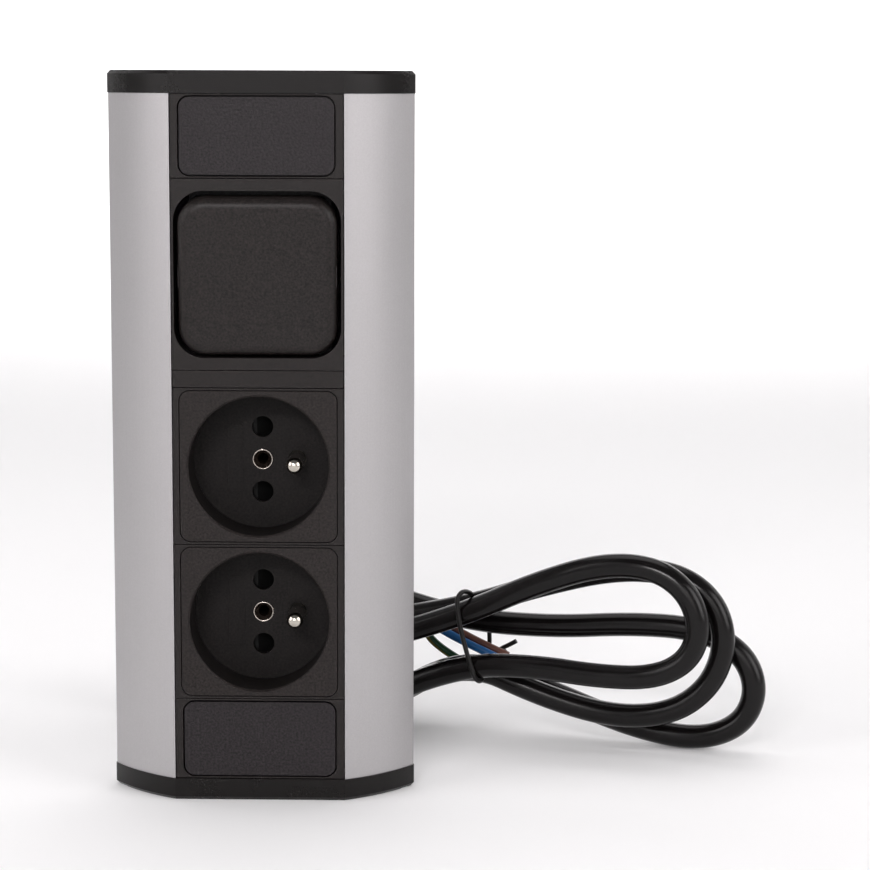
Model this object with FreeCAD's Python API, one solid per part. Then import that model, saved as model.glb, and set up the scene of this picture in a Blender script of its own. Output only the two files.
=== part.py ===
import FreeCAD, Part
import math
import os

# A furniture socket column for the inner corner of a worktop: an extruded aluminium
# profile with a round front and two 45 degree backs, closed by two moulded end caps.
# Its front channel holds, from the bottom up, a blank module, two earth-pin sockets,
# a spacer strip, a rocker switch and a second blank module. A mains lead leaves the
# rear flat and lies behind the column as a tied hank with a cut end.
#
# Frame: +X right, the front looks towards -Y, +Z up. The origin is the bottom centre
# of the box round the column without its lead. A depth is a distance behind the front
# face of the modules. All sizes are millimetres.

Vector = FreeCAD.Vector
X_AXIS = Vector(1, 0, 0)
Y_AXIS = Vector(0, 1, 0)
Z_AXIS = Vector(0, 0, 1)

# Clearances
SLIP = 0.05
PLAY = 0.3
MODULE_GAP = 0.1

# The standard's round recess sets the socket module, which sets the channel
RECESS_RADIUS = 20.0
RECESS_SIDE_RIM = 2.3
RECESS_END_RIM = 1.6
COVER_SIDE_RIM = 1.9
COVER_END_RIM = 0.9
COVER_WIDTH = 2 * (RECESS_RADIUS + RECESS_SIDE_RIM)
COVER_HEIGHT = 2 * (RECESS_RADIUS + RECESS_END_RIM)
SOCKET_HEIGHT = COVER_HEIGHT + 2 * COVER_END_RIM
PLATE_HALF = COVER_WIDTH / 2 + COVER_SIDE_RIM
CHANNEL_HALF = PLATE_HALF + PLAY

# Column
CAP_HEIGHT = 6.4
BLANK_HEIGHT = 23.6
SPACER_HEIGHT = 5.0
SWITCH_HEIGHT = 54.0
CHANNEL_WALL = 1.8
CHANNEL_DEPTH = 11.0
CHEEK_RADIUS = 53.4
CHEEK_REACH = 19.7
CHEEK_HALF = CHANNEL_HALF + CHEEK_REACH
BACK_ROOM = 3.4
PROFILE_WALL = 2.0
CHEEK_EDGE_FILLET = 1.4
BACK_EDGE_FILLET = 1.5
PORT_RADIUS = 3.2
PORT_WALL_OFFSET = 2.6
PORT_PLACES_X = (CHANNEL_HALF + 8.0, CHANNEL_HALF + 14.5)
FIXING_HOLE_RADIUS = 2.25
FIXING_HOLE_X = CHANNEL_HALF + 1.5

# End caps and their screws
CAP_OVERHANG = 0.3
CAP_CHAMFER = 1.0
CAP_SKIN = 2.6
CAP_RIM = 3.2
CAP_COLUMN_RADIUS = 4.4
CAP_RIB_THICKNESS = 1.8
CAP_RIB_HEIGHT = 3.0
CAP_RIB_WIDTH = 28.0
SCREW_RADIUS = 1.55
SCREW_LENGTH = 15.0
SCREW_HEAD_RADIUS = 3.1
SCREW_HEAD_HEIGHT = 1.8
SCREW_SINK = 0.2
SCREW_CROSS_LENGTH = 3.4
SCREW_CROSS_WIDTH = 0.9
SCREW_CROSS_DEPTH = 1.2

# Front modules
PLATE_THICKNESS = 2.4
LEDGE_THICKNESS = 1.2
CLIP_WALL = 1.6
CLIP_HOOK_LENGTH = 1.4
CLIP_HOOK_REACH = 1.0
CLIP_HALF_HEIGHT = 4.0
SWITCH_CLIP_HALF_HEIGHT = 1.5
BLANK_SIDE_RIM = 2.5
BLANK_END_RIM = 1.0
BLANK_COVER_WIDTH = 2 * (PLATE_HALF - BLANK_SIDE_RIM)
BLANK_COVER_HEIGHT = BLANK_HEIGHT - 2 * BLANK_END_RIM
BLANK_COVER_RADIUS = 3.0
BLANK_GROOVE = 0.45
BLANK_LEDGE = 2.6
BLANK_ARM_WIDTH = 10.0
BLANK_ARM_THICKNESS = 1.2
BLANK_ARM_LENGTH = 4.0
BLANK_ARM_HOOK = 0.5

# Rocker switch
SWITCH_SIDE_RIM = 0.6
SWITCH_END_RIM = 3.5
SWITCH_OPENING_WIDTH = 2 * (PLATE_HALF - SWITCH_SIDE_RIM)
SWITCH_OPENING_HEIGHT = SWITCH_HEIGHT - 2 * SWITCH_END_RIM
SWITCH_OPENING_RADIUS = 8.5
SWITCH_WELL_DEPTH = 7.0
SWITCH_BAR_THICKNESS = 1.2
SWITCH_BAR_HALF_WIDTH = 12.0
SWITCH_BAR_GRIP = 4.5
ROCKER_SIDE_GAP = 1.2
ROCKER_END_GAP = 1.1
ROCKER_WIDTH = SWITCH_OPENING_WIDTH - 2 * ROCKER_SIDE_GAP
ROCKER_HEIGHT = SWITCH_OPENING_HEIGHT - 2 * ROCKER_END_GAP
ROCKER_RADIUS = 8.0
ROCKER_PROUD = 1.8
ROCKER_EDGE_FILLET = 3.0
ROCKER_SKIN = 2.0
ROCKER_SKIRT_DEPTH = 6.0
ROCKER_PIVOT_DEPTH = 8.0
ROCKER_TILT = 3.5
EAR_RADIUS = 3.0
EAR_THICKNESS = 2.0
EAR_PIN_RADIUS = 1.5
TUBE_RADIUS = 2.6
TUBE_DEPTH = 16.0
PLUNGER_RADIUS = 1.6
PLUNGER_TIP_DEPTH = 22.5
PLUNGER_LENGTH = 10.5
SWITCH_SPRING_WIRE = 0.25
SWITCH_SPRING_TURNS = 6
HOUSING_INSET = 3.3
HOUSING_HALF_WIDTH = SWITCH_OPENING_WIDTH / 2 - HOUSING_INSET
HOUSING_WALL = 1.8
HOUSING_BACK = 32.5
LEVER_TILT = 6.0
LEVER_FACE = 1.9
LEVER_THICKNESS = 0.8
LEVER_HALF_WIDTH = 3.0
LEVER_HALF_LENGTH = 11.0
LEVER_HUB_RADIUS = 1.7
LEVER_PIN_RADIUS = 0.9
LEVER_GAP = 0.12
CONTACT_RADIUS = 1.6
CONTACT_HEIGHT = 0.8
CONTACT_GAP = 0.12
BRACKET_THICKNESS = 1.0
TAIL_HALF_WIDTH = 3.8
TAIL_LAP = 2.0
TAIL_SLOT_GAP = 0.15

# Sockets
COVER_RADIUS = 3.0
COVER_GROOVE = 0.25
RECESS_DEPTH = 15.0
RECESS_WALL = 1.4
RECESS_FLOOR = 2.2
RECESS_LIP = 0.5
PIN_PITCH = 19.0
PIN_HOLE_RADIUS = 3.05
EARTH_PIN_X = 10.0
EARTH_PIN_RADIUS = 2.4
EARTH_PIN_LENGTH = 14.5
EARTH_SEAT_RADIUS = 2.7
EARTH_FLANGE_RADIUS = 3.5
EARTH_FLANGE_THICKNESS = 1.2
EARTH_RIVET_RADIUS = 1.6
EARTH_RIVET_HEAD = 2.1
EYELET_RADIUS = 3.0
EYELET_BORE = 1.8
EYELET_PROUD = 0.4
EYELET_ROLL = 0.7
LABEL_X = -7.9
LABEL_WIDTH = 5.0
LABEL_HEIGHT = 20.6
LABEL_RADIUS = 1.6
LABEL_LINE = 0.45
LABEL_RELIEF = 0.25
BASE_INSET = 0.9
BASE_HALF_WIDTH = COVER_WIDTH / 2 - BASE_INSET
BASE_HALF_HEIGHT = COVER_HEIGHT / 2
BASE_REST = 3.0
BASE_EDGE_RADIUS = 2.0
SHUTTER_THICKNESS = 5.6
SHUTTER_TRAVEL = 7.6
SHUTTER_OVERLAP = 1.15
SHUTTER_BRIDGE = 5.0
SHUTTER_RAMP_LAND = 1.8
SHUTTER_RAMP_LIP = 0.8
SPRING_RADIUS = 1.7
SPRING_WIRE = 0.3
SPRING_TURNS = 5
SPRING_PACKED = 3.6
POCKET_FLOOR = 1.2
CLIP_GAP_HALF = 2.3
CLIP_LEAF = 0.7
CLIP_LEAF_HALF_HEIGHT = 3.2
CLIP_DEPTH = 9.0
TERMINAL_HALF_WIDTH = 3.1
TERMINAL_HALF_HEIGHT = 3.6
TERMINAL_HALF_DEPTH = 3.5
TERMINAL_INSET = 0.6
TERMINAL_X = BASE_HALF_WIDTH - TERMINAL_INSET - TERMINAL_HALF_WIDTH
TERMINAL_STEP = 0.2
TERMINAL_SCREW_RADIUS = 1.6
TERMINAL_SCREW_SLOT = 0.6

# Wiring inside the column
WIRE_RADIUS = 1.3
WIRE_BEND = 3.4
WIRE_ENTRY = 4.0
WIRE_PAIR_HALF = 1.7
LANE_GAP = 1.2
LANE_PITCH = 2.7
LANE_INNER_X = BASE_HALF_WIDTH + LANE_GAP + WIRE_RADIUS
LANE_OUTER_X = LANE_INNER_X + LANE_PITCH
FEED_LANE_DEPTH = 18.0
CROSSING_ROOM = 4.0
RISER_X = 14.0

# Strain relief and lead
EXIT_HEIGHT = 18.0
EXIT_HOLE_RADIUS = 6.2
BOOT_FLANGE_RADIUS = 8.0
BOOT_FLANGE_THICKNESS = 2.2
BOOT_COLLAR_RADIUS = 7.6
BOOT_COLLAR_THICKNESS = 1.6
BOOT_LENGTH = 16.0
BOOT_ROOT_RADIUS = 6.2
BOOT_TIP_RADIUS = 4.8
BOOT_GROOVES = 4
BOOT_GROOVE_WIDTH = 1.4
BOOT_GROOVE_DEPTH = 0.8
CORD_RADIUS = 3.7
CORE_RADIUS = 1.3
CORE_CIRCLE = 1.8
CORE_STRAIGHT = 3.2
TIE_RADIUS = 0.75

# The hank: loops in layers one behind the other, drawn in at one waist by the tie.
# Even loops lie to the left of the waist and odd loops to the right.
WAIST_X = 58.0
FAR_X = 130.0
FAR_DEPTH = 43.0
HANK_LIFT = 0.2
LAYER_SLANT = 0.325
LAYER_PITCH = 9.0
LAYER_CLIMB_SHARE = 0.36
FIRST_TURN_SHARE = 0.328
LAST_TURN_SHARE = 0.9342
STATION_TURNS = (0.0, 0.28, 0.5, 0.72)
LOOP_START_Z = (24.5, 41.5, 24.5, 41.0, 24.5, 36.0, 24.0)
LOOP_END_Z = (41.5, 24.5, 41.0, 24.5, 36.0, 24.0, 33.0)
LOOP_REACH = (104.0, 71.5, 101.0, 79.5, 104.0, 90.0, 99.0)
LOOP_TIP_Z = (23.0, 41.5, 24.0, 37.0, 26.0, 20.3, 23.2)
LOOP_LEAN = (-0.33, 0.33, -0.33, 0.0, -0.09, -0.18, -0.08)
LOOP_FLARE = (35.0, 24.0, 35.0, 34.0, 37.0, 33.0, 35.0)
LOOP_PINCH = (2.4, 1.3, 2.2, 1.15, 1.05, 1.6, 1.15)
TIE_DEPTHS = (61.2, 80.5, 90.4)
TIE_TOP_Z = (47.2, 46.8, 42.8)
TIE_LOW_Z = 18.7
TIE_LEAN_X = 2.4
TIE_BEND = 4.5
CORE_BROWN = (Vector(54.2, 94.6, 31.4), Vector(72.0, 92.6, 23.6))
CORE_BLUE = (Vector(51.0, 94.6, 29.2), Vector(67.0, 92.2, 22.4))
CORE_EARTH = (Vector(47.5, 98.2, 26.4), Vector(56.0, 96.4, 20.2))


# Places worked out from the sizes above
CUP_BACK = RECESS_DEPTH + RECESS_FLOOR
SHUTTER_FRONT = CUP_BACK + PLAY
SHUTTER_BACK = SHUTTER_FRONT + SHUTTER_THICKNESS
POCKET_BACK = SHUTTER_BACK + PLAY
CHAMBER_FRONT = POCKET_BACK + POCKET_FLOOR
BASE_BACK = CHAMBER_FRONT + CLIP_DEPTH + BASE_REST
TERMINAL_DEPTH = CHAMBER_FRONT + TERMINAL_STEP + TERMINAL_HALF_DEPTH
INNER_BACK = BASE_BACK + BACK_ROOM
BACK_DEPTH = INNER_BACK + PROFILE_WALL
CROSSING_DEPTH = INNER_BACK - CROSSING_ROOM
TAIL_BACK = CROSSING_DEPTH + TAIL_LAP
ROCKER_ARM = ROCKER_HEIGHT / 2 - ROCKER_EDGE_FILLET
ROCKER_REACH = ROCKER_PROUD + ROCKER_PIVOT_DEPTH - ROCKER_EDGE_FILLET
TILT = math.radians(ROCKER_TILT)
FRONT_MOST = ROCKER_REACH * math.cos(TILT) + ROCKER_ARM * math.sin(TILT) + ROCKER_EDGE_FILLET - ROCKER_PIVOT_DEPTH
FRONT_Y = (FRONT_MOST - BACK_DEPTH) / 2
LOWER_BLANK_Z = CAP_HEIGHT + BLANK_HEIGHT / 2
LOWER_SOCKET_Z = CAP_HEIGHT + BLANK_HEIGHT + SOCKET_HEIGHT / 2
UPPER_SOCKET_Z = LOWER_SOCKET_Z + SOCKET_HEIGHT
SPACER_Z = UPPER_SOCKET_Z + SOCKET_HEIGHT / 2 + SPACER_HEIGHT / 2
SWITCH_Z = SPACER_Z + SPACER_HEIGHT / 2 + SWITCH_HEIGHT / 2
UPPER_BLANK_Z = SWITCH_Z + SWITCH_HEIGHT / 2 + BLANK_HEIGHT / 2
COLUMN_HEIGHT = UPPER_BLANK_Z + BLANK_HEIGHT / 2 + CAP_HEIGHT
CHEEK_CENTRE = math.sqrt(CHEEK_RADIUS ** 2 - CHANNEL_HALF ** 2)
BACK_SUM = CHEEK_HALF + CHEEK_CENTRE - math.sqrt(CHEEK_RADIUS ** 2 - CHEEK_HALF ** 2)
PORT_SUM = BACK_SUM - (PROFILE_WALL + PORT_WALL_OFFSET) * math.sqrt(2)
CLIP_BACK = CHANNEL_DEPTH + PLAY + CLIP_HOOK_LENGTH
HOUSING_FRONT = ROCKER_PIVOT_DEPTH + EAR_RADIUS + 2 * PLAY
LEVER_PIVOT_DEPTH = PLUNGER_TIP_DEPTH + LEVER_FACE + LEVER_GAP
SHUTTER_RIGHT = PIN_HOLE_RADIUS + SHUTTER_OVERLAP
SHUTTER_INNER_X = EYELET_RADIUS + PLAY
SHUTTER_LEFT = SHUTTER_INNER_X + SHUTTER_BRIDGE
SHUTTER_TOP = PIN_PITCH / 2 + SHUTTER_RIGHT
SHUTTER_DEPTH = (SHUTTER_FRONT + SHUTTER_BACK) / 2
POCKET_LEFT = SHUTTER_LEFT + SHUTTER_TRAVEL + PLAY
SPRING_SEAT = SHUTTER_LEFT + SHUTTER_TRAVEL + SPRING_PACKED
STRAP_FRONT = CUP_BACK + EARTH_FLANGE_THICKNESS
EARTH_TERMINAL_DEPTH = STRAP_FRONT + TERMINAL_HALF_DEPTH


def at(x, depth, z):
    return Vector(x, FRONT_Y + depth, z)


def box(x0, x1, depth0, depth1, z0, z1):
    return Part.makeBox(x1 - x0, depth1 - depth0, z1 - z0, at(x0, depth0, z0))


def centred_box(half_x, depth0, depth1, half_z, z):
    return box(-half_x, half_x, depth0, depth1, z - half_z, z + half_z)


def rod_back(x, z, depth0, depth1, radius):
    return Part.makeCylinder(radius, depth1 - depth0, at(x, depth0, z), Y_AXIS)


def cone_back(x, z, depth0, depth1, radius0, radius1):
    return Part.makeCone(radius0, radius1, depth1 - depth0, at(x, depth0, z), Y_AXIS)


def rod_across(x0, x1, depth, z, radius):
    return Part.makeCylinder(radius, x1 - x0, at(x0, depth, z), X_AXIS)


def rod_up(x, depth, z0, z1, radius):
    return Part.makeCylinder(radius, z1 - z0, at(x, depth, z0))


def rounded_box(x0, x1, depth0, depth1, z0, z1, radius):
    """A block whose four edges along the depth are rounded."""
    block = box(x0, x1, depth0, depth1, z0, z1)
    return block.makeFillet(radius, [e for e in block.Edges if abs(e.tangentAt(e.FirstParameter).y) > 0.99])


def rounded_plate(width, height, radius, depth0, depth1, z):
    return rounded_box(-width / 2, width / 2, depth0, depth1, z - height / 2, z + height / 2, radius)


def mirrored(shape):
    return shape.mirror(Vector(0, 0, 0), X_AXIS)


def half_turned(shape, z):
    """The same piece turned half round the module's own axis along Y."""
    turned = shape.copy()
    turned.rotate(Vector(0, 0, z), Y_AXIS, 180)
    return turned


def to_top(shape):
    """The same piece at the other end of the column, upside down."""
    return shape.mirror(Vector(0, 0, COLUMN_HEIGHT / 2), Z_AXIS)


def union(shapes):
    return shapes[0].multiFuse(shapes[1:]).removeSplitter()


# Column profile and end caps


def column_outline(overhang):
    """The outline in plan: front chord, two round cheeks, two 45 degree backs and the rear flat."""
    radius = CHEEK_RADIUS + overhang
    centre = at(0, CHEEK_CENTRE, 0)
    front_half = math.sqrt(radius ** 2 - (CHEEK_CENTRE + overhang) ** 2)
    span = BACK_SUM - CHEEK_CENTRE
    side_depth = CHEEK_CENTRE + (span - math.sqrt(2 * radius ** 2 - span ** 2)) / 2
    front = at(front_half, -overhang, 0)
    side = at(BACK_SUM - side_depth, side_depth, 0)
    rear = at(BACK_SUM - BACK_DEPTH, BACK_DEPTH, 0)
    middle = centre + ((front + side) / 2 - centre).normalize() * radius
    right = [front, middle, side, rear]
    left = [Vector(-p.x, p.y, 0) for p in right]
    return Part.Wire([
        Part.Arc(right[0], right[1], right[2]).toShape(),
        Part.LineSegment(right[2], right[3]).toShape(),
        Part.LineSegment(right[3], left[3]).toShape(),
        Part.LineSegment(left[3], left[2]).toShape(),
        Part.Arc(left[2], left[1], left[0]).toShape(),
        Part.LineSegment(left[0], right[0]).toShape(),
    ])


def column_prism(overhang, z0, z1):
    prism = Part.Face(column_outline(overhang)).extrude(Vector(0, 0, z1 - z0))
    prism.translate(Vector(0, 0, z0))
    upright = [e for e in prism.Edges if e.BoundBox.ZLength > 1 and e.BoundBox.XLength < 0.001]
    widest = max(abs(e.BoundBox.XMax) for e in upright)
    side_edges = [e for e in upright if abs(abs(e.BoundBox.XMax) - widest) < 0.001]
    prism = prism.makeFillet(CHEEK_EDGE_FILLET, side_edges)
    upright = [e for e in prism.Edges if e.BoundBox.ZLength > 1 and e.BoundBox.XLength < 0.001]
    rear_edges = [e for e in upright if abs(e.BoundBox.YMax - FRONT_Y - BACK_DEPTH) < 0.001]
    return prism.makeFillet(BACK_EDGE_FILLET, rear_edges)


def inner_prism(wall, z0, z1):
    prism = Part.Face(column_outline(0).makeOffset2D(-wall, 2)).extrude(Vector(0, 0, z1 - z0))
    prism.translate(Vector(0, 0, z0))
    return prism


def port_places():
    """Plan places of the screw ports along both 45 degree backs."""
    return [(side * x, PORT_SUM - x) for x in PORT_PLACES_X for side in (1, -1)]


def make_profile():
    z0 = CAP_HEIGHT
    z1 = COLUMN_HEIGHT - CAP_HEIGHT
    outer = column_prism(0, z0, z1)
    wall = box(CHANNEL_HALF, CHANNEL_HALF + CHANNEL_WALL, 0, CHANNEL_DEPTH, z0, z1)
    ribs = [wall, mirrored(wall)]
    ribs += [rod_up(x, depth, z0, z1, PORT_RADIUS) for x, depth in port_places()]
    profile = outer.cut(inner_prism(PROFILE_WALL, z0, z1)).multiFuse([outer.common(rib) for rib in ribs])
    cuts = [box(-CHANNEL_HALF, CHANNEL_HALF, -1, CHANNEL_DEPTH, z0, z1)]
    cuts += [rod_up(x, depth, z0, z1, SCREW_RADIUS + SLIP) for x, depth in port_places()]
    cuts.append(rod_back(0, EXIT_HEIGHT, INNER_BACK - 1, BACK_DEPTH + 1, EXIT_HOLE_RADIUS))
    for side in (1, -1):
        inward = Vector(-side, -1, 0).normalize()
        for z in (LOWER_BLANK_Z, UPPER_BLANK_Z):
            start = at(side * FIXING_HOLE_X, BACK_SUM - FIXING_HOLE_X, z) - inward
            cuts.append(Part.makeCylinder(FIXING_HOLE_RADIUS, 2 * PROFILE_WALL, start, inward))
    return profile.cut(cuts).removeSplitter()


def screw_head(x, depth, gap):
    """A countersunk head, wide end down."""
    low = SCREW_HEAD_RADIUS + gap
    high = SCREW_RADIUS + gap
    return Part.makeCone(low, high, SCREW_HEAD_HEIGHT, at(x, depth, SCREW_SINK))


def make_bottom_cap():
    cap = column_prism(CAP_OVERHANG, 0, CAP_HEIGHT)
    chamfer = min(CAP_CHAMFER, 0.8 * CHEEK_EDGE_FILLET)
    cap = cap.makeChamfer(chamfer, [e for e in cap.Edges if e.BoundBox.ZMax < 0.001])
    columns = [rod_up(x, depth, 0, CAP_HEIGHT, CAP_COLUMN_RADIUS) for x, depth in port_places()]
    cap = cap.cut(inner_prism(CAP_RIM, CAP_SKIN, CAP_HEIGHT).cut(columns))
    rib_back = INNER_BACK - PLAY
    rib = box(-CAP_RIB_WIDTH / 2, CAP_RIB_WIDTH / 2, rib_back - CAP_RIB_THICKNESS, rib_back, CAP_SKIN,
              CAP_HEIGHT + CAP_RIB_HEIGHT)
    cuts = []
    for x, depth in port_places():
        cuts.append(rod_up(x, depth, -1, CAP_HEIGHT + 1, SCREW_RADIUS + SLIP))
        cuts.append(screw_head(x, depth, SLIP))
        cuts.append(rod_up(x, depth, -1, SCREW_SINK, SCREW_HEAD_RADIUS + SLIP))
    return cap.fuse(rib).cut(cuts).removeSplitter()


def make_cap_screw(x, depth):
    screw = screw_head(x, depth, 0).fuse(rod_up(x, depth, SCREW_SINK + SCREW_HEAD_HEIGHT, SCREW_LENGTH, SCREW_RADIUS))
    for size_x, size_y in ((SCREW_CROSS_LENGTH, SCREW_CROSS_WIDTH), (SCREW_CROSS_WIDTH, SCREW_CROSS_LENGTH)):
        corner = at(x - size_x / 2, depth - size_y / 2, 0)
        screw = screw.cut(Part.makeBox(size_x, size_y, SCREW_SINK + SCREW_CROSS_DEPTH, corner))
    return screw


def make_bottom_screws():
    return Part.makeCompound([make_cap_screw(x, depth) for x, depth in port_places()])


# Front modules


def front_plate(height, z):
    return centred_box(PLATE_HALF, 0, PLATE_THICKNESS, height / 2 - MODULE_GAP, z)


def side_clips(z, half_height):
    """Two tabs down the channel walls, with hooks behind the walls' back edges."""
    tab = box(PLATE_HALF - CLIP_WALL, PLATE_HALF, 0, CLIP_BACK, z - half_height, z + half_height)
    base = z - half_height
    hook_front = CHANNEL_DEPTH + PLAY
    hook_x = CHANNEL_HALF + CLIP_HOOK_REACH
    corners = [at(PLATE_HALF - CLIP_WALL, hook_front, base), at(hook_x, hook_front, base), at(PLATE_HALF, CLIP_BACK, base)]
    hook = Part.Face(Part.makePolygon(corners + corners[:1])).extrude(Vector(0, 0, 2 * half_height))
    right = tab.fuse(hook)
    return [right, mirrored(right)]


def make_blank_frame(z):
    opening_width = BLANK_COVER_WIDTH + 2 * BLANK_GROOVE
    opening_height = BLANK_COVER_HEIGHT + 2 * BLANK_GROOVE
    opening_radius = BLANK_COVER_RADIUS + BLANK_GROOVE
    ledge_back = PLATE_THICKNESS + LEDGE_THICKNESS
    ledge = centred_box(PLATE_HALF, PLATE_THICKNESS, ledge_back, BLANK_HEIGHT / 2 - MODULE_GAP, z)
    window = rounded_plate(opening_width - 2 * BLANK_LEDGE, opening_height - 2 * BLANK_LEDGE,
                           opening_radius - BLANK_LEDGE / 2, 0, ledge_back + 1, z)
    opening = rounded_plate(opening_width, opening_height, opening_radius, -1, PLATE_THICKNESS, z)
    frame = union([front_plate(BLANK_HEIGHT, z), ledge] + side_clips(z, CLIP_HALF_HEIGHT))
    return frame.cut(opening).cut(window).removeSplitter()


def make_blank_cover(z):
    """The press-in plate, with two hooked arms behind it."""
    cover = rounded_plate(BLANK_COVER_WIDTH, BLANK_COVER_HEIGHT, BLANK_COVER_RADIUS, 0, PLATE_THICKNESS, z)
    arm_out = BLANK_COVER_HEIGHT / 2 + BLANK_GROOVE - BLANK_LEDGE - PLAY
    hook_front = PLATE_THICKNESS + LEDGE_THICKNESS + SLIP
    arm_back = PLATE_THICKNESS + BLANK_ARM_LENGTH
    shapes = [cover]
    for side in (1, -1):
        arm_z = z + side * (arm_out - BLANK_ARM_THICKNESS / 2)
        hook_half = (BLANK_ARM_THICKNESS + BLANK_ARM_HOOK) / 2
        hook_z = z + side * (arm_out + BLANK_ARM_HOOK - hook_half)
        shapes.append(centred_box(BLANK_ARM_WIDTH / 2, PLATE_THICKNESS - 1, arm_back, BLANK_ARM_THICKNESS / 2, arm_z))
        shapes.append(centred_box(BLANK_ARM_WIDTH / 2, hook_front, arm_back, hook_half, hook_z))
    return union(shapes)


def make_spacer():
    return union([front_plate(SPACER_HEIGHT, SPACER_Z)] + side_clips(SPACER_Z, SPACER_HEIGHT / 2 - 2 * MODULE_GAP))


# Rocker switch


def tilted(shape, depth, degrees):
    """Turn a switch piece about its own axis along X: a positive angle brings its top edge forward."""
    turned = shape.copy()
    turned.rotate(at(0, depth, SWITCH_Z), X_AXIS, degrees)
    return turned


def make_switch_frame():
    half_height = SWITCH_OPENING_HEIGHT / 2
    wall = PLATE_HALF - SWITCH_OPENING_WIDTH / 2
    well = rounded_plate(2 * PLATE_HALF, 2 * (half_height + wall), SWITCH_OPENING_RADIUS + wall, 0,
                         SWITCH_WELL_DEPTH, SWITCH_Z)
    opening = rounded_plate(SWITCH_OPENING_WIDTH, SWITCH_OPENING_HEIGHT, SWITCH_OPENING_RADIUS, -1,
                            SWITCH_WELL_DEPTH + 1, SWITCH_Z)
    clip_z = SWITCH_HEIGHT / 2 - 2 * MODULE_GAP - SWITCH_CLIP_HALF_HEIGHT
    shapes = [front_plate(SWITCH_HEIGHT, SWITCH_Z), well]
    shapes += side_clips(SWITCH_Z + clip_z, SWITCH_CLIP_HALF_HEIGHT)
    shapes += side_clips(SWITCH_Z - clip_z, SWITCH_CLIP_HALF_HEIGHT)
    for side in (1, -1):
        z = SWITCH_Z + side * (half_height + SWITCH_BAR_THICKNESS / 2)
        shapes.append(centred_box(SWITCH_BAR_HALF_WIDTH, 0, HOUSING_FRONT + SWITCH_BAR_GRIP,
                                  SWITCH_BAR_THICKNESS / 2, z))
    return union(shapes).cut(opening).removeSplitter()


def make_rocker():
    front = -ROCKER_PROUD
    shell = rounded_plate(ROCKER_WIDTH, ROCKER_HEIGHT, ROCKER_RADIUS, front, ROCKER_SKIRT_DEPTH, SWITCH_Z)
    shell = shell.makeFillet(ROCKER_EDGE_FILLET, [e for e in shell.Edges if e.BoundBox.YMax < FRONT_Y + front + 0.001])
    hollow = rounded_plate(ROCKER_WIDTH - 2 * ROCKER_SKIN, ROCKER_HEIGHT - 2 * ROCKER_SKIN,
                           ROCKER_RADIUS - ROCKER_SKIN, front + ROCKER_SKIN, ROCKER_SKIRT_DEPTH + 1, SWITCH_Z)
    inner_x = ROCKER_WIDTH / 2 - ROCKER_SKIN
    ear = union([
        box(inner_x, inner_x + ROCKER_SKIN, 0, ROCKER_PIVOT_DEPTH, SWITCH_Z - EAR_RADIUS, SWITCH_Z + EAR_RADIUS),
        rod_across(inner_x, inner_x + ROCKER_SKIN, ROCKER_PIVOT_DEPTH, SWITCH_Z, EAR_RADIUS),
        rod_across(inner_x - PLAY - EAR_THICKNESS, inner_x, ROCKER_PIVOT_DEPTH, SWITCH_Z, EAR_PIN_RADIUS),
    ])
    tube = rod_back(0, SWITCH_Z, front + ROCKER_SKIN / 2, TUBE_DEPTH, TUBE_RADIUS)
    bore = rod_back(0, SWITCH_Z, front + 2 * ROCKER_SKIN, TUBE_DEPTH + 1, PLUNGER_RADIUS + SLIP)
    rocker = union([shell.cut(hollow), ear, mirrored(ear), tube]).cut(bore)
    return tilted(rocker, ROCKER_PIVOT_DEPTH, ROCKER_TILT)


def coil(length, radius, wire, turns):
    """A spring of round wire standing on the origin along Z."""
    rise = length - 2 * wire
    helix = Part.makeHelix(rise / turns, rise, radius)
    ring = Part.Wire(Part.Circle(Vector(radius, 0, 0), Y_AXIS, wire).toShape())
    spring = Part.Wire(helix).makePipeShell([ring], True, True)
    spring.translate(Vector(0, 0, wire))
    return spring


def make_switch_spring():
    front = 2 * ROCKER_SKIN - ROCKER_PROUD + SLIP
    back = PLUNGER_TIP_DEPTH - PLUNGER_LENGTH - SLIP
    spring = coil(back - front, PLUNGER_RADIUS - SWITCH_SPRING_WIRE - SLIP, SWITCH_SPRING_WIRE, SWITCH_SPRING_TURNS)
    spring.rotate(Vector(0, 0, 0), X_AXIS, -90)
    spring.translate(at(0, front, SWITCH_Z))
    return tilted(spring, ROCKER_PIVOT_DEPTH, ROCKER_TILT)


def make_switch_plunger():
    nose = PLUNGER_TIP_DEPTH - PLUNGER_RADIUS
    pin = rod_back(0, SWITCH_Z, PLUNGER_TIP_DEPTH - PLUNGER_LENGTH, nose, PLUNGER_RADIUS)
    tip = Part.makeSphere(PLUNGER_RADIUS, at(0, nose, SWITCH_Z))
    return tilted(union([pin, tip]), ROCKER_PIVOT_DEPTH, ROCKER_TILT)


def fixed_contact_z():
    return SWITCH_Z - LEVER_HALF_LENGTH + CONTACT_RADIUS


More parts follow.
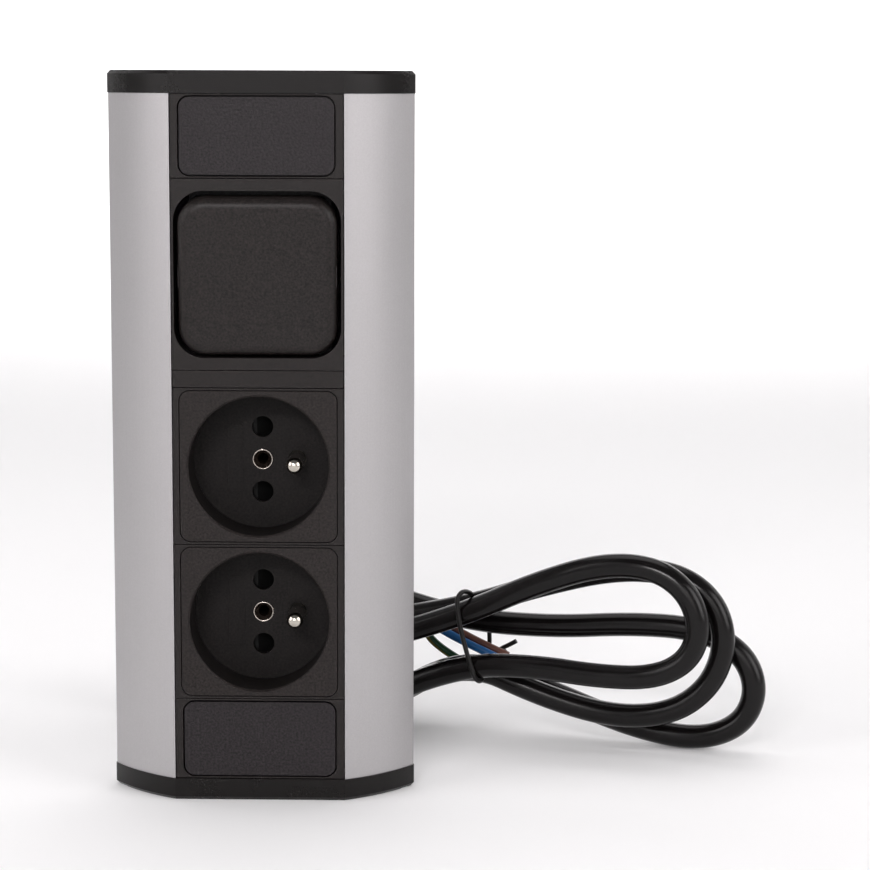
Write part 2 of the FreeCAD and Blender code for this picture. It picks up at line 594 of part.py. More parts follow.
def make_switch_housing():
    half_height = SWITCH_OPENING_HEIGHT / 2
    body = centred_box(HOUSING_HALF_WIDTH, HOUSING_FRONT, HOUSING_BACK, half_height, SWITCH_Z)
    hollow = centred_box(HOUSING_HALF_WIDTH - HOUSING_WALL, HOUSING_FRONT - 1, HOUSING_BACK - HOUSING_WALL,
                         half_height - HOUSING_WALL, SWITCH_Z)
    outer = ROCKER_WIDTH / 2 - ROCKER_SKIN - PLAY
    ear = union([
        box(outer - EAR_THICKNESS, outer, ROCKER_PIVOT_DEPTH, HOUSING_BACK - HOUSING_WALL / 2,
            SWITCH_Z - EAR_RADIUS, SWITCH_Z + EAR_RADIUS),
        rod_across(outer - EAR_THICKNESS, outer, ROCKER_PIVOT_DEPTH, SWITCH_Z, EAR_RADIUS),
    ])
    cuts = [rod_across(-outer - 1, outer + 1, ROCKER_PIVOT_DEPTH, SWITCH_Z, EAR_PIN_RADIUS + SLIP)]
    for z in (SWITCH_Z, fixed_contact_z()):
        cuts.append(centred_box(TAIL_HALF_WIDTH + TAIL_SLOT_GAP, HOUSING_BACK - HOUSING_WALL - 1, HOUSING_BACK + 1,
                                BRACKET_THICKNESS / 2 + TAIL_SLOT_GAP, z))
    return union([body.cut(hollow), ear, mirrored(ear)]).cut(cuts).removeSplitter()


def make_contact_lever():
    pivot = LEVER_PIVOT_DEPTH
    plate_back = pivot - LEVER_FACE + LEVER_THICKNESS
    plate = centred_box(LEVER_HALF_WIDTH, pivot - LEVER_FACE, plate_back, LEVER_HALF_LENGTH, SWITCH_Z)
    hub = rod_across(-LEVER_HALF_WIDTH, LEVER_HALF_WIDTH, pivot, SWITCH_Z, LEVER_HUB_RADIUS)
    stud = rod_back(0, fixed_contact_z(), plate_back, plate_back + CONTACT_HEIGHT, CONTACT_RADIUS)
    bore = rod_across(-LEVER_HALF_WIDTH - 1, LEVER_HALF_WIDTH + 1, pivot, SWITCH_Z, LEVER_PIN_RADIUS + SLIP)
    return tilted(union([plate, hub, stud]).cut(bore), pivot, -LEVER_TILT)


def terminal_tail(z):
    """The flat blade that leaves the housing through its slot, with its foot inside the back wall."""
    foot_back = HOUSING_BACK - HOUSING_WALL
    foot_half = TAIL_HALF_WIDTH + BRACKET_THICKNESS
    foot = centred_box(foot_half, foot_back - BRACKET_THICKNESS, foot_back, LEVER_HUB_RADIUS, z)
    blade = centred_box(TAIL_HALF_WIDTH, foot_back, TAIL_BACK, BRACKET_THICKNESS / 2, z)
    return foot.fuse(blade)


def make_pivot_terminal():
    """The bracket that carries the contact lever on a pin."""
    near = LEVER_HALF_WIDTH + PLAY
    far = near + BRACKET_THICKNESS
    cheek = box(near, far, LEVER_PIVOT_DEPTH - LEVER_HUB_RADIUS, HOUSING_BACK - HOUSING_WALL,
                SWITCH_Z - LEVER_HUB_RADIUS, SWITCH_Z + LEVER_HUB_RADIUS)
    pin = rod_across(-far, far, LEVER_PIVOT_DEPTH, SWITCH_Z, LEVER_PIN_RADIUS)
    return union([cheek, mirrored(cheek), pin, terminal_tail(SWITCH_Z)])


def make_fixed_contact():
    """The contact that the lever's stud meets when the switch is on."""
    angle = math.radians(LEVER_TILT)
    stud_back = LEVER_THICKNESS + CONTACT_HEIGHT - LEVER_FACE
    front = LEVER_PIVOT_DEPTH + stud_back * math.cos(angle) + LEVER_HALF_LENGTH * math.sin(angle) + CONTACT_GAP
    z = fixed_contact_z()
    stud = rod_back(0, z, front, HOUSING_BACK - HOUSING_WALL, CONTACT_RADIUS)
    return union([stud, terminal_tail(z)])


# Sockets


def make_socket_frame(z):
    opening = rounded_plate(COVER_WIDTH + 2 * COVER_GROOVE, COVER_HEIGHT + 2 * COVER_GROOVE,
                            COVER_RADIUS + COVER_GROOVE, -1, PLATE_THICKNESS, z)
    ledge_back = PLATE_THICKNESS + LEDGE_THICKNESS
    ledge = centred_box(PLATE_HALF, PLATE_THICKNESS, ledge_back, SOCKET_HEIGHT / 2 - MODULE_GAP, z)
    hole = rod_back(0, z, 0, ledge_back + 1, RECESS_RADIUS + RECESS_WALL + PLAY)
    shapes = [front_plate(SOCKET_HEIGHT, z), ledge]
    for side in (1, -1):
        shapes += side_clips(z + side * (SOCKET_HEIGHT / 2 - 2 * CLIP_HALF_HEIGHT), CLIP_HALF_HEIGHT)
    return union(shapes).cut([opening, hole]).removeSplitter()


def make_socket_cover(z):
    """The plate with the round plug recess; its floor has the pin holes and a bare label frame."""
    plate = rounded_plate(COVER_WIDTH, COVER_HEIGHT, COVER_RADIUS, 0, PLATE_THICKNESS, z)
    cup = rod_back(0, z, 0, CUP_BACK, RECESS_RADIUS + RECESS_WALL)
    label = rounded_box(LABEL_X - LABEL_WIDTH / 2, LABEL_X + LABEL_WIDTH / 2, RECESS_DEPTH - LABEL_RELIEF,
                        RECESS_DEPTH + 1, z - LABEL_HEIGHT / 2, z + LABEL_HEIGHT / 2, LABEL_RADIUS)
    inner_half = LABEL_WIDTH / 2 - LABEL_LINE
    field = rounded_box(LABEL_X - inner_half, LABEL_X + inner_half, 0, RECESS_DEPTH,
                        z - LABEL_HEIGHT / 2 + LABEL_LINE, z + LABEL_HEIGHT / 2 - LABEL_LINE,
                        LABEL_RADIUS - LABEL_LINE)
    cuts = [
        rod_back(0, z, -1, RECESS_DEPTH, RECESS_RADIUS),
        cone_back(0, z, 0, RECESS_LIP, RECESS_RADIUS + RECESS_LIP, RECESS_RADIUS),
    ]
    floor_cuts = [field]
    floor_cuts += [rod_back(0, z + side * PIN_PITCH / 2, 0, CUP_BACK + 1, PIN_HOLE_RADIUS) for side in (1, -1)]
    floor_cuts.append(rod_back(0, z, 0, CUP_BACK + 1, EYELET_RADIUS + SLIP))
    floor_cuts.append(rod_back(EARTH_PIN_X, z, 0, CUP_BACK + 1, EARTH_SEAT_RADIUS + SLIP))
    return plate.fuse(cup).cut(cuts).fuse(label).cut(floor_cuts).removeSplitter()


def make_socket_base(z):
    """The insulating block behind the recess: shutter pocket in front, contact chambers open to the back."""
    block = rounded_plate(2 * BASE_HALF_WIDTH, 2 * BASE_HALF_HEIGHT, BASE_EDGE_RADIUS, CUP_BACK, BASE_BACK, z)
    pocket = box(-POCKET_LEFT, SHUTTER_RIGHT + PLAY, CUP_BACK - 1, POCKET_BACK, z - SHUTTER_TOP - PLAY,
                 z + SHUTTER_TOP + PLAY)
    cuts = [
        pocket.cut(rod_back(0, z, CUP_BACK - 2, BASE_BACK, EYELET_RADIUS + SLIP)),
        rod_across(-SPRING_SEAT, -SHUTTER_LEFT, SHUTTER_DEPTH, z, SPRING_RADIUS + SPRING_WIRE + PLAY),
        rod_back(0, z, CUP_BACK - 1, BASE_BACK + 1, EYELET_RADIUS + SLIP),
    ]
    leaf_x = CLIP_GAP_HALF + CLIP_LEAF + PLAY
    web_z = CLIP_LEAF_HALF_HEIGHT + CLIP_LEAF + PLAY
    block_half_x = TERMINAL_HALF_WIDTH + PLAY
    block_half_z = TERMINAL_HALF_HEIGHT + PLAY
    hole_z = z + PIN_PITCH / 2
    live_z = live_terminal_z(z)
    live = [
        rod_back(0, hole_z, POCKET_BACK - 1, CHAMBER_FRONT + 1, PIN_HOLE_RADIUS),
        box(-leaf_x, leaf_x, CHAMBER_FRONT, BASE_BACK + 1, hole_z - CLIP_LEAF_HALF_HEIGHT - PLAY, hole_z + web_z),
        box(-leaf_x, TERMINAL_X, CHAMBER_FRONT, BASE_BACK + 1, hole_z, hole_z + web_z),
        box(TERMINAL_X - block_half_x, BASE_HALF_WIDTH + 1, TERMINAL_DEPTH - TERMINAL_HALF_DEPTH, BASE_BACK + 1,
            live_z - block_half_z, live_z + block_half_z),
    ]
    cuts += live
    cuts += [half_turned(shape, z) for shape in live]
    cuts += [
        rod_back(EARTH_PIN_X, z, CUP_BACK - 1, STRAP_FRONT, EARTH_FLANGE_RADIUS + PLAY),
        box(EARTH_PIN_X, BASE_HALF_WIDTH + 1, STRAP_FRONT, STRAP_FRONT + BRACKET_THICKNESS + EARTH_RIVET_HEAD,
            z - EARTH_FLANGE_RADIUS - PLAY, z + EARTH_FLANGE_RADIUS + PLAY),
        rod_back(EARTH_PIN_X, z, STRAP_FRONT, STRAP_FRONT + BRACKET_THICKNESS + EARTH_RIVET_HEAD,
                 EARTH_FLANGE_RADIUS + PLAY),
        box(TERMINAL_X - block_half_x, BASE_HALF_WIDTH + 1, EARTH_TERMINAL_DEPTH - TERMINAL_HALF_DEPTH, BASE_BACK + 1,
            z - block_half_z, z + block_half_z),
    ]
    clear = inner_prism(PROFILE_WALL + PLAY, z - BASE_HALF_HEIGHT - 1, z + BASE_HALF_HEIGHT + 1)
    return block.common(clear).cut(cuts).removeSplitter()


def make_eyelet(z):
    """The hollow centre rivet that holds the cover to the base; its bright rim shows in the recess."""
    front = RECESS_DEPTH - EYELET_PROUD
    post = rod_back(0, z, front, BASE_BACK, EYELET_RADIUS)
    roll = rod_back(0, z, BASE_BACK, BASE_BACK + EYELET_ROLL, EYELET_RADIUS + EYELET_ROLL)
    bore = rod_back(0, z, front - 1, BASE_BACK + EYELET_ROLL + 1, EYELET_BORE)
    mouth = cone_back(0, z, front, front + EYELET_PROUD, EYELET_BORE + EYELET_PROUD, EYELET_BORE)
    return post.fuse(roll).cut([bore, mouth]).removeSplitter()


def make_earth_pin(z):
    """The pin with its domed tip, the seat in the recess floor, the flange behind it and the riveted end."""
    front = RECESS_DEPTH - EARTH_PIN_LENGTH
    strap_back = STRAP_FRONT + BRACKET_THICKNESS
    return union([
        Part.makeSphere(EARTH_PIN_RADIUS, at(EARTH_PIN_X, front + EARTH_PIN_RADIUS, z)),
        rod_back(EARTH_PIN_X, z, front + EARTH_PIN_RADIUS, RECESS_DEPTH, EARTH_PIN_RADIUS),
        rod_back(EARTH_PIN_X, z, RECESS_DEPTH, CUP_BACK, EARTH_SEAT_RADIUS),
        rod_back(EARTH_PIN_X, z, CUP_BACK, STRAP_FRONT, EARTH_FLANGE_RADIUS),
        rod_back(EARTH_PIN_X, z, STRAP_FRONT, strap_back, EARTH_RIVET_RADIUS),
        rod_back(EARTH_PIN_X, z, strap_back, strap_back + EARTH_RIVET_RADIUS / 2, EARTH_RIVET_HEAD),
    ])


def terminal_block(depth, z, wire_places):
    """A brass block with a hole across for each wire and a threaded hole from the back."""
    block = box(TERMINAL_X - TERMINAL_HALF_WIDTH, TERMINAL_X + TERMINAL_HALF_WIDTH, depth - TERMINAL_HALF_DEPTH,
                depth + TERMINAL_HALF_DEPTH, z - TERMINAL_HALF_HEIGHT, z + TERMINAL_HALF_HEIGHT)
    outer_x = TERMINAL_X + TERMINAL_HALF_WIDTH
    cuts = [rod_across(outer_x - WIRE_ENTRY, outer_x + 1, depth, wire_z, WIRE_RADIUS + SLIP) for wire_z in wire_places]
    cuts.append(rod_back(TERMINAL_X, z, depth, depth + TERMINAL_HALF_DEPTH + 1, TERMINAL_SCREW_RADIUS + SLIP))
    return block.cut(cuts)


def wire_holes(z):
    return (z - WIRE_PAIR_HALF, z + WIRE_PAIR_HALF)


def live_terminal_z(z):
    """Height of the live terminal: its block stands on the same line as the clip's web."""
    return z + PIN_PITCH / 2 + CLIP_LEAF_HALF_HEIGHT + CLIP_LEAF / 2


def make_live_contact(z):
    """A clip with two leaves for the plug pin, a web and the terminal block."""
    hole_z = z + PIN_PITCH / 2
    low = hole_z - CLIP_LEAF_HALF_HEIGHT
    high = hole_z + CLIP_LEAF_HALF_HEIGHT
    front = CHAMBER_FRONT + SLIP
    leaf_out = CLIP_GAP_HALF + CLIP_LEAF
    clip = [
        box(CLIP_GAP_HALF, leaf_out, front, front + CLIP_DEPTH, low, high),
        box(-leaf_out, -CLIP_GAP_HALF, front, front + CLIP_DEPTH, low, high),
        box(-leaf_out, TERMINAL_X - TERMINAL_HALF_WIDTH + CLIP_LEAF, front, front + CLIP_DEPTH, high, high + CLIP_LEAF),
    ]
    block_z = live_terminal_z(z)
    return union(clip + [terminal_block(TERMINAL_DEPTH, block_z, wire_holes(block_z))])


def make_earth_contact(z):
    """The strap riveted under the earth pin's flange, with its terminal block."""
    strap = box(EARTH_PIN_X, TERMINAL_X + TERMINAL_HALF_WIDTH, STRAP_FRONT, STRAP_FRONT + BRACKET_THICKNESS,
                z - EARTH_FLANGE_RADIUS, z + EARTH_FLANGE_RADIUS)
    eye = rod_back(EARTH_PIN_X, z, STRAP_FRONT, STRAP_FRONT + BRACKET_THICKNESS, EARTH_FLANGE_RADIUS)
    block = terminal_block(EARTH_TERMINAL_DEPTH, z, wire_holes(z))
    hole = rod_back(EARTH_PIN_X, z, STRAP_FRONT - 1, STRAP_FRONT + BRACKET_THICKNESS + 1, EARTH_RIVET_RADIUS + SLIP)
    return union([strap, eye, block]).cut(hole)


def terminal_screw(x, depth, z):
    """A grub screw whose tip stands on the wires."""
    front = depth + WIRE_RADIUS + SLIP
    back = depth + TERMINAL_HALF_DEPTH + TERMINAL_SCREW_RADIUS
    screw = rod_back(x, z, front, back, TERMINAL_SCREW_RADIUS)
    return screw.cut(box(x - TERMINAL_SCREW_RADIUS - 1, x + TERMINAL_SCREW_RADIUS + 1, back - TERMINAL_SCREW_SLOT,
                         back + 1, z - TERMINAL_SCREW_SLOT / 2, z + TERMINAL_SCREW_SLOT / 2))


def make_terminal_screws(z):
    live = terminal_screw(TERMINAL_X, TERMINAL_DEPTH, live_terminal_z(z))
    earth = terminal_screw(TERMINAL_X, EARTH_TERMINAL_DEPTH, z)
    return Part.makeCompound([live, half_turned(live, z), earth])


def make_shutter(z):
    """The sliding shutter: a wing with a ramp in front of each live clip, joined by a bridge."""
    land = -SHUTTER_RAMP_LAND
    ramp_end = SHUTTER_BACK - SHUTTER_RAMP_LIP
    section = [(-SHUTTER_LEFT, SHUTTER_FRONT), (land, SHUTTER_FRONT), (SHUTTER_RIGHT, ramp_end),
               (SHUTTER_RIGHT, SHUTTER_BACK), (-SHUTTER_LEFT, SHUTTER_BACK)]
    corners = [at(x, depth, z - SHUTTER_TOP) for x, depth in section]
    plate = Part.Face(Part.makePolygon(corners + corners[:1])).extrude(Vector(0, 0, 2 * SHUTTER_TOP))
    window_half = PIN_PITCH / 2 - SHUTTER_RIGHT
    window = box(-SHUTTER_INNER_X, SHUTTER_RIGHT + 1, SHUTTER_FRONT - 1, SHUTTER_BACK + 1, z - window_half,
                 z + window_half)
    return plate.cut(window)


def make_shutter_spring(z):
    left = -SPRING_SEAT + SLIP
    spring = coil(SPRING_SEAT - SHUTTER_LEFT - 2 * SLIP, SPRING_RADIUS, SPRING_WIRE, SPRING_TURNS)
    spring.rotate(Vector(0, 0, 0), Y_AXIS, 90)
    spring.translate(at(left, SHUTTER_DEPTH, z))
    return spring


# Wiring, strain relief and lead


def tube(edges, radius):
    """A round tube swept along touching edges, starting square to the first."""
    first = edges[0]
    start = first.valueAt(first.FirstParameter)
    ring = Part.Wire(Part.Circle(start, first.tangentAt(first.FirstParameter), radius).toShape())
    return Part.Wire(edges).makePipeShell([ring], True, False)


def run_edges(points, bend):
    """Straight runs through the points, with tangent arcs; bend is a radius, or None for 0.45 of the shorter run."""
    edges = []
    start = points[0]
    for before, corner, after in zip(points, points[1:], points[2:]):
        toward = (corner - before).normalize()
        away = (after - corner).normalize()
        half = toward.getAngle(away) / 2
        shorter = min((corner - before).Length, (after - corner).Length)
        cut = bend * math.tan(half) if bend else 0.45 * shorter
        radius = cut / math.tan(half)
        arc_start = corner - toward * cut
        arc_end = corner + away * cut
        inward = (away - toward).normalize()
        middle = corner + inward * (radius / math.cos(half) - radius)
        edges.append(Part.LineSegment(start, arc_start).toShape())
        edges.append(Part.Arc(arc_start, middle, arc_end).toShape())
        start = arc_end
    edges.append(Part.LineSegment(start, points[-1]).toShape())
    return edges


def wire(points):
    return tube(run_edges([at(x, depth, z) for x, depth, z in points], WIRE_BEND), WIRE_RADIUS)


def make_wires():
    """The lead's three cores inside the column, the links between the sockets and the switched wire.

    The feed and the switched wire pass between the upper socket's block and the switch housing.
    """
    entry_x = TERMINAL_X + TERMINAL_HALF_WIDTH - WIRE_ENTRY
    inner = BOOT_FLANGE_THICKNESS
    start = INNER_BACK - inner
    tail_x = TAIL_HALF_WIDTH
    side_start = CORE_RADIUS + WIRE_RADIUS + 2 * PLAY
    live_low = live_terminal_z(LOWER_SOCKET_Z)
    live_high = live_terminal_z(UPPER_SOCKET_Z)
    neutral_low = 2 * LOWER_SOCKET_Z - live_low
    neutral_high = 2 * UPPER_SOCKET_Z - live_high
    feed_z = fixed_contact_z()
    pass_z = (UPPER_SOCKET_Z + BASE_HALF_HEIGHT + SWITCH_Z - SWITCH_OPENING_HEIGHT / 2) / 2
    pair = WIRE_PAIR_HALF
    return {
        "wire_neutral_feed": wire([
            (-side_start, start, EXIT_HEIGHT), (-side_start, TERMINAL_DEPTH, EXIT_HEIGHT),
            (-LANE_INNER_X, TERMINAL_DEPTH, EXIT_HEIGHT), (-LANE_INNER_X, TERMINAL_DEPTH, neutral_low - pair),
            (-entry_x, TERMINAL_DEPTH, neutral_low - pair)]),
        "wire_neutral_link": wire([
            (-entry_x, TERMINAL_DEPTH, neutral_low + pair), (-LANE_INNER_X, TERMINAL_DEPTH, neutral_low + pair),
            (-LANE_INNER_X, TERMINAL_DEPTH, neutral_high - pair), (-entry_x, TERMINAL_DEPTH, neutral_high - pair)]),
        "wire_earth_feed": wire([
            (side_start, start, EXIT_HEIGHT), (side_start, EARTH_TERMINAL_DEPTH, EXIT_HEIGHT),
            (LANE_INNER_X, EARTH_TERMINAL_DEPTH, EXIT_HEIGHT),
            (LANE_INNER_X, EARTH_TERMINAL_DEPTH, LOWER_SOCKET_Z - pair),
            (entry_x, EARTH_TERMINAL_DEPTH, LOWER_SOCKET_Z - pair)]),
        "wire_earth_link": wire([
            (entry_x, EARTH_TERMINAL_DEPTH, LOWER_SOCKET_Z + pair),
            (LANE_INNER_X, EARTH_TERMINAL_DEPTH, LOWER_SOCKET_Z + pair),
            (LANE_INNER_X, EARTH_TERMINAL_DEPTH, UPPER_SOCKET_Z - pair),
            (entry_x, EARTH_TERMINAL_DEPTH, UPPER_SOCKET_Z - pair)]),
        "wire_live_feed": wire([
            (0, start, EXIT_HEIGHT), (0, FEED_LANE_DEPTH, EXIT_HEIGHT), (-LANE_OUTER_X, FEED_LANE_DEPTH, EXIT_HEIGHT),
            (-LANE_OUTER_X, FEED_LANE_DEPTH, pass_z), (-RISER_X, FEED_LANE_DEPTH, pass_z),
            (-RISER_X, CROSSING_DEPTH, pass_z), (-RISER_X, CROSSING_DEPTH, feed_z),
            (-tail_x, CROSSING_DEPTH, feed_z)]),
        "wire_live_switched": wire([
            (tail_x, CROSSING_DEPTH, SWITCH_Z), (RISER_X, CROSSING_DEPTH, SWITCH_Z),
            (RISER_X, CROSSING_DEPTH, pass_z), (RISER_X, TERMINAL_DEPTH, pass_z),
            (LANE_INNER_X, TERMINAL_DEPTH, pass_z), (LANE_INNER_X, TERMINAL_DEPTH, live_high + pair),
            (entry_x, TERMINAL_DEPTH, live_high + pair)]),
        "wire_live_link": wire([
            (entry_x, TERMINAL_DEPTH, live_high - pair), (LANE_INNER_X, TERMINAL_DEPTH, live_high - pair),
            (LANE_INNER_X, TERMINAL_DEPTH, live_low + pair), (entry_x, TERMINAL_DEPTH, live_low + pair)]),
    }


def make_strain_relief():
    """The tapered, grooved boot that grips the rear wall between its flange and its collar."""
    flange_front = INNER_BACK - BOOT_FLANGE_THICKNESS
    collar_back = BACK_DEPTH + BOOT_COLLAR_THICKNESS
    tip = BACK_DEPTH + BOOT_LENGTH
    boot = union([
        rod_back(0, EXIT_HEIGHT, flange_front, INNER_BACK, BOOT_FLANGE_RADIUS),
        rod_back(0, EXIT_HEIGHT, INNER_BACK, BACK_DEPTH, EXIT_HOLE_RADIUS - SLIP),
        rod_back(0, EXIT_HEIGHT, BACK_DEPTH, collar_back, BOOT_COLLAR_RADIUS),
        cone_back(0, EXIT_HEIGHT, collar_back, tip, BOOT_ROOT_RADIUS, BOOT_TIP_RADIUS),
    ])
    pitch = (tip - collar_back) / (BOOT_GROOVES + 1)
    rings = []
    for number in range(1, BOOT_GROOVES + 1):
        middle = collar_back + number * pitch
        floor = BOOT_ROOT_RADIUS - (BOOT_ROOT_RADIUS - BOOT_TIP_RADIUS) * number / (BOOT_GROOVES + 1) - BOOT_GROOVE_DEPTH
        ring = rod_back(0, EXIT_HEIGHT, middle - BOOT_GROOVE_WIDTH / 2, middle + BOOT_GROOVE_WIDTH / 2,
                        BOOT_COLLAR_RADIUS)
        rings.append(ring.cut(rod_back(0, EXIT_HEIGHT, middle - pitch, middle + pitch, floor)))
    return boot.cut(rings)


def loop_point(loop, turn):
    """A point of one loop of the hank; turn runs from 0 to pi between two passages of the waist."""
    side = 1 if loop % 2 else -1
    start_z, end_z = LOOP_START_Z[loop], LOOP_END_Z[loop]
    reach, lean = LOOP_REACH[loop], LOOP_LEAN[loop]
    spread = max(0.0, math.sin(turn))
    across = reach * spread
    middle_z = (start_z + end_z) / 2
    bow = LOOP_TIP_Z[loop] - middle_z - lean * reach
    flare = side * LOOP_FLARE[loop] * math.cos(turn) * spread ** LOOP_PINCH[loop]
    z = middle_z + (start_z - end_z) / 2 * math.cos(turn) + lean * across + bow * spread ** 2 + flare
    climb = min(1.0, turn / (math.pi * LAYER_CLIMB_SHARE))
    last_layer = loop // 2
    first_layer = last_layer if loop % 2 else max(0, last_layer - 1)
    layer = first_layer + (last_layer - first_layer) * climb * climb * (3 - 2 * climb)
    x = WAIST_X + side * across
    return at(x, FAR_DEPTH + LAYER_SLANT * (FAR_X - x) + LAYER_PITCH * layer, z + HANK_LIFT)


def hank_stations():
    """Points of the hank with their directions, from the boot's tip to the cut end."""
    mouth = at(0, BACK_DEPTH + BOOT_LENGTH, EXIT_HEIGHT)
    stations = [(mouth + Y_AXIS * 2 * CORD_RADIUS, Y_AXIS)]
    last = len(LOOP_REACH) - 1
    for loop in range(last + 1):
        turns = [share * math.pi for share in STATION_TURNS]
        if loop == 0:
            first = FIRST_TURN_SHARE * math.pi
            turns = [first] + [turn for turn in turns if turn > first]
        if loop == last:
            turns = turns + [LAST_TURN_SHARE * math.pi]
        for turn in turns:
            step = 0.001
            ahead = loop_point(loop, turn + step) - loop_point(loop, max(0.0, turn - step))
            stations.append((loop_point(loop, turn), ahead.normalize()))
    return mouth, stations


def arc_edge(start, apex, end):
    """The arc from start to end whose tangents meet at the apex."""
    chord_middle = (start + end) / 2
    half = (apex - start).getAngle(end - apex) / 2
    middle = chord_middle + (apex - chord_middle) * (math.cos(half) / (1 + math.cos(half)))
    return Part.Arc(start, middle, end).toShape()


def biarc_edges(start, start_way, end, end_way):
    span = end - start
    ways = start_way + end_way
    slack = 2 * (1 - start_way.dot(end_way))
    along = span.dot(ways)
    reach = (math.sqrt(along ** 2 + slack * span.dot(span)) - along) / slack
    first_apex = start + start_way * reach
    second_apex = end - end_way * reach
    joint = (first_apex + second_apex) / 2
    return [arc_edge(start, first_apex, joint), arc_edge(joint, second_apex, end)]


def hank_edges():
    mouth, stations = hank_stations()
    edges = [Part.LineSegment(mouth, stations[0][0]).toShape()]
    for (start, start_way), (end, end_way) in zip(stations, stations[1:]):
        edges += biarc_edges(start, start_way, end, end_way)
    end, way = stations[-1]
    edges.append(Part.LineSegment(end, end + way * 2 * CORD_RADIUS).toShape())
    return edges


def report_hank(edges):
    """Print the tube's length, tightest arc and least gap to itself, measured on points."""
    points = []
    travelled = []
    length = 0.0
    for edge in edges:
        count = max(2, int(edge.Length / 2.5))
        step = edge.Length / count
        for number in range(count):
            points.append(edge.valueAt(edge.getParameterByLength(number * step)))
            travelled.append(length + number * step)
        length += edge.Length
    least = min((points[i] - points[j]).Length
                for i in range(len(points)) for j in range(i + 1, len(points))
                if travelled[j] - travelled[i] > 10 * CORD_RADIUS)
    radii = [edge.Curve.Radius for edge in edges if hasattr(edge.Curve, "Radius")]
    print("hank length", round(length, 1), "tightest arc", round(min(radii), 1))
    print("hank arcs", len(radii), "turns", len(LOOP_REACH), "least gap to itself", round(least - 2 * CORD_RADIUS, 2))


def make_cord():
    edges = hank_edges()
    report_hank(edges)
    return tube(edges, CORD_RADIUS)


def make_tie():
    """The bag tie round the hank's waist, with its twisted end."""
    low = [at(WAIST_X + TIE_LEAN_X, depth, TIE_LOW_Z) for depth in (TIE_DEPTHS[0], TIE_DEPTHS[-1])]
    top = [at(WAIST_X - TIE_LEAN_X, depth, z) for depth, z in zip(TIE_DEPTHS, TIE_TOP_Z)]
    front = (low[0] + top[0]) / 2
    rear = (low[1] + top[-1]) / 2
    over = tube(run_edges([front] + top + [rear], TIE_BEND), TIE_RADIUS)
    under = tube(run_edges([rear, low[1], low[0], front], TIE_BEND), TIE_RADIUS)
    nib_root = top[0] + (top[1] - top[0]).normalize() * (TIE_BEND + TIE_RADIUS)
    nib = Part.makeCylinder(2 * TIE_RADIUS, 8 * TIE_RADIUS, nib_root, Vector(0.35, -0.25, 0.9))
    return over.fuse([under, nib]).removeSplitter()


def make_cores():
    """The three cores that leave the cord's cut end."""
    end, way = hank_stations()[1][-1]
    face = end + way * 2 * CORD_RADIUS
    upward = (Z_AXIS - way * way.z).normalize()
    sideways = way.cross(upward)
    cores = {}
    routes = (("core_brown", CORE_BROWN), ("core_earth", CORE_EARTH), ("core_blue", CORE_BLUE))
    for number, (name, points) in enumerate(routes):
        angle = math.radians(90 + 120 * number)
        offset = (upward * math.sin(angle) + sideways * math.cos(angle)) * CORE_CIRCLE
        start = face + offset
        route = [start, start + way * CORE_STRAIGHT] + [at(p.x, p.y, p.z + HANK_LIFT) for p in points]
        cores[name] = tube(run_edges(route, None), CORE_RADIUS)
    return cores


def make_nodes():
    nodes = {
        "body_profile": make_profile(),
        "bottom_end_cap": make_bottom_cap(),
        "bottom_cap_screws": make_bottom_screws(),
        "lower_blank_frame": make_blank_frame(LOWER_BLANK_Z),
        "lower_blank_cover": make_blank_cover(LOWER_BLANK_Z),
        "upper_blank_frame": make_blank_frame(UPPER_BLANK_Z),
        "upper_blank_cover": make_blank_cover(UPPER_BLANK_Z),
        "spacer_strip": make_spacer(),
        "switch_frame": make_switch_frame(),
        "switch_rocker": make_rocker(),
        "switch_spring": make_switch_spring(),
        "switch_plunger": make_switch_plunger(),
        "switch_housing": make_switch_housing(),
        "switch_contact_lever": make_contact_lever(),
        "switch_pivot_terminal": make_pivot_terminal(),
        "switch_fixed_contact": make_fixed_contact(),
        "strain_relief": make_strain_relief(),
        "cord_hank": make_cord(),
        "cord_tie": make_tie(),
    }
    nodes["top_end_cap"] = to_top(nodes["bottom_end_cap"])
    nodes["top_cap_screws"] = to_top(nodes["bottom_cap_screws"])
    for name, z in (("lower", LOWER_SOCKET_Z), ("upper", UPPER_SOCKET_Z)):
        live = make_live_contact(z)
        nodes[name + "_socket_frame"] = make_socket_frame(z)
        nodes[name + "_socket_cover"] = make_socket_cover(z)
        nodes[name + "_socket_base"] = make_socket_base(z)
        nodes[name + "_eyelet"] = make_eyelet(z)
        nodes[name + "_earth_pin"] = make_earth_pin(z)
        nodes[name + "_earth_contact"] = make_earth_contact(z)
        nodes[name + "_live_contact"] = live
        nodes[name + "_neutral_contact"] = half_turned(live, z)
        nodes[name + "_terminal_screws"] = make_terminal_screws(z)
        nodes[name + "_shutter"] = make_shutter(z)
        nodes[name + "_shutter_spring"] = make_shutter_spring(z)
    nodes.update(make_wires())
    nodes.update(make_cores())
    return nodes


def main():
    os.makedirs("parts", exist_ok=True)
    for name, shape in make_nodes().items():
        shape.exportStep("parts/" + name + ".step")
        print(name, "solids", len(shape.Solids), "valid", shape.isValid(), "volume", round(shape.Volume, 1))


main()
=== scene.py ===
"""Corner socket column with a hanked mains lead: finishes, soft pieces, stage and camera.

The file is laid out like an add-on and is run as a script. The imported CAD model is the
fixed frame: X to the right, Y away from the camera, Z up, lengths in metres.
"""

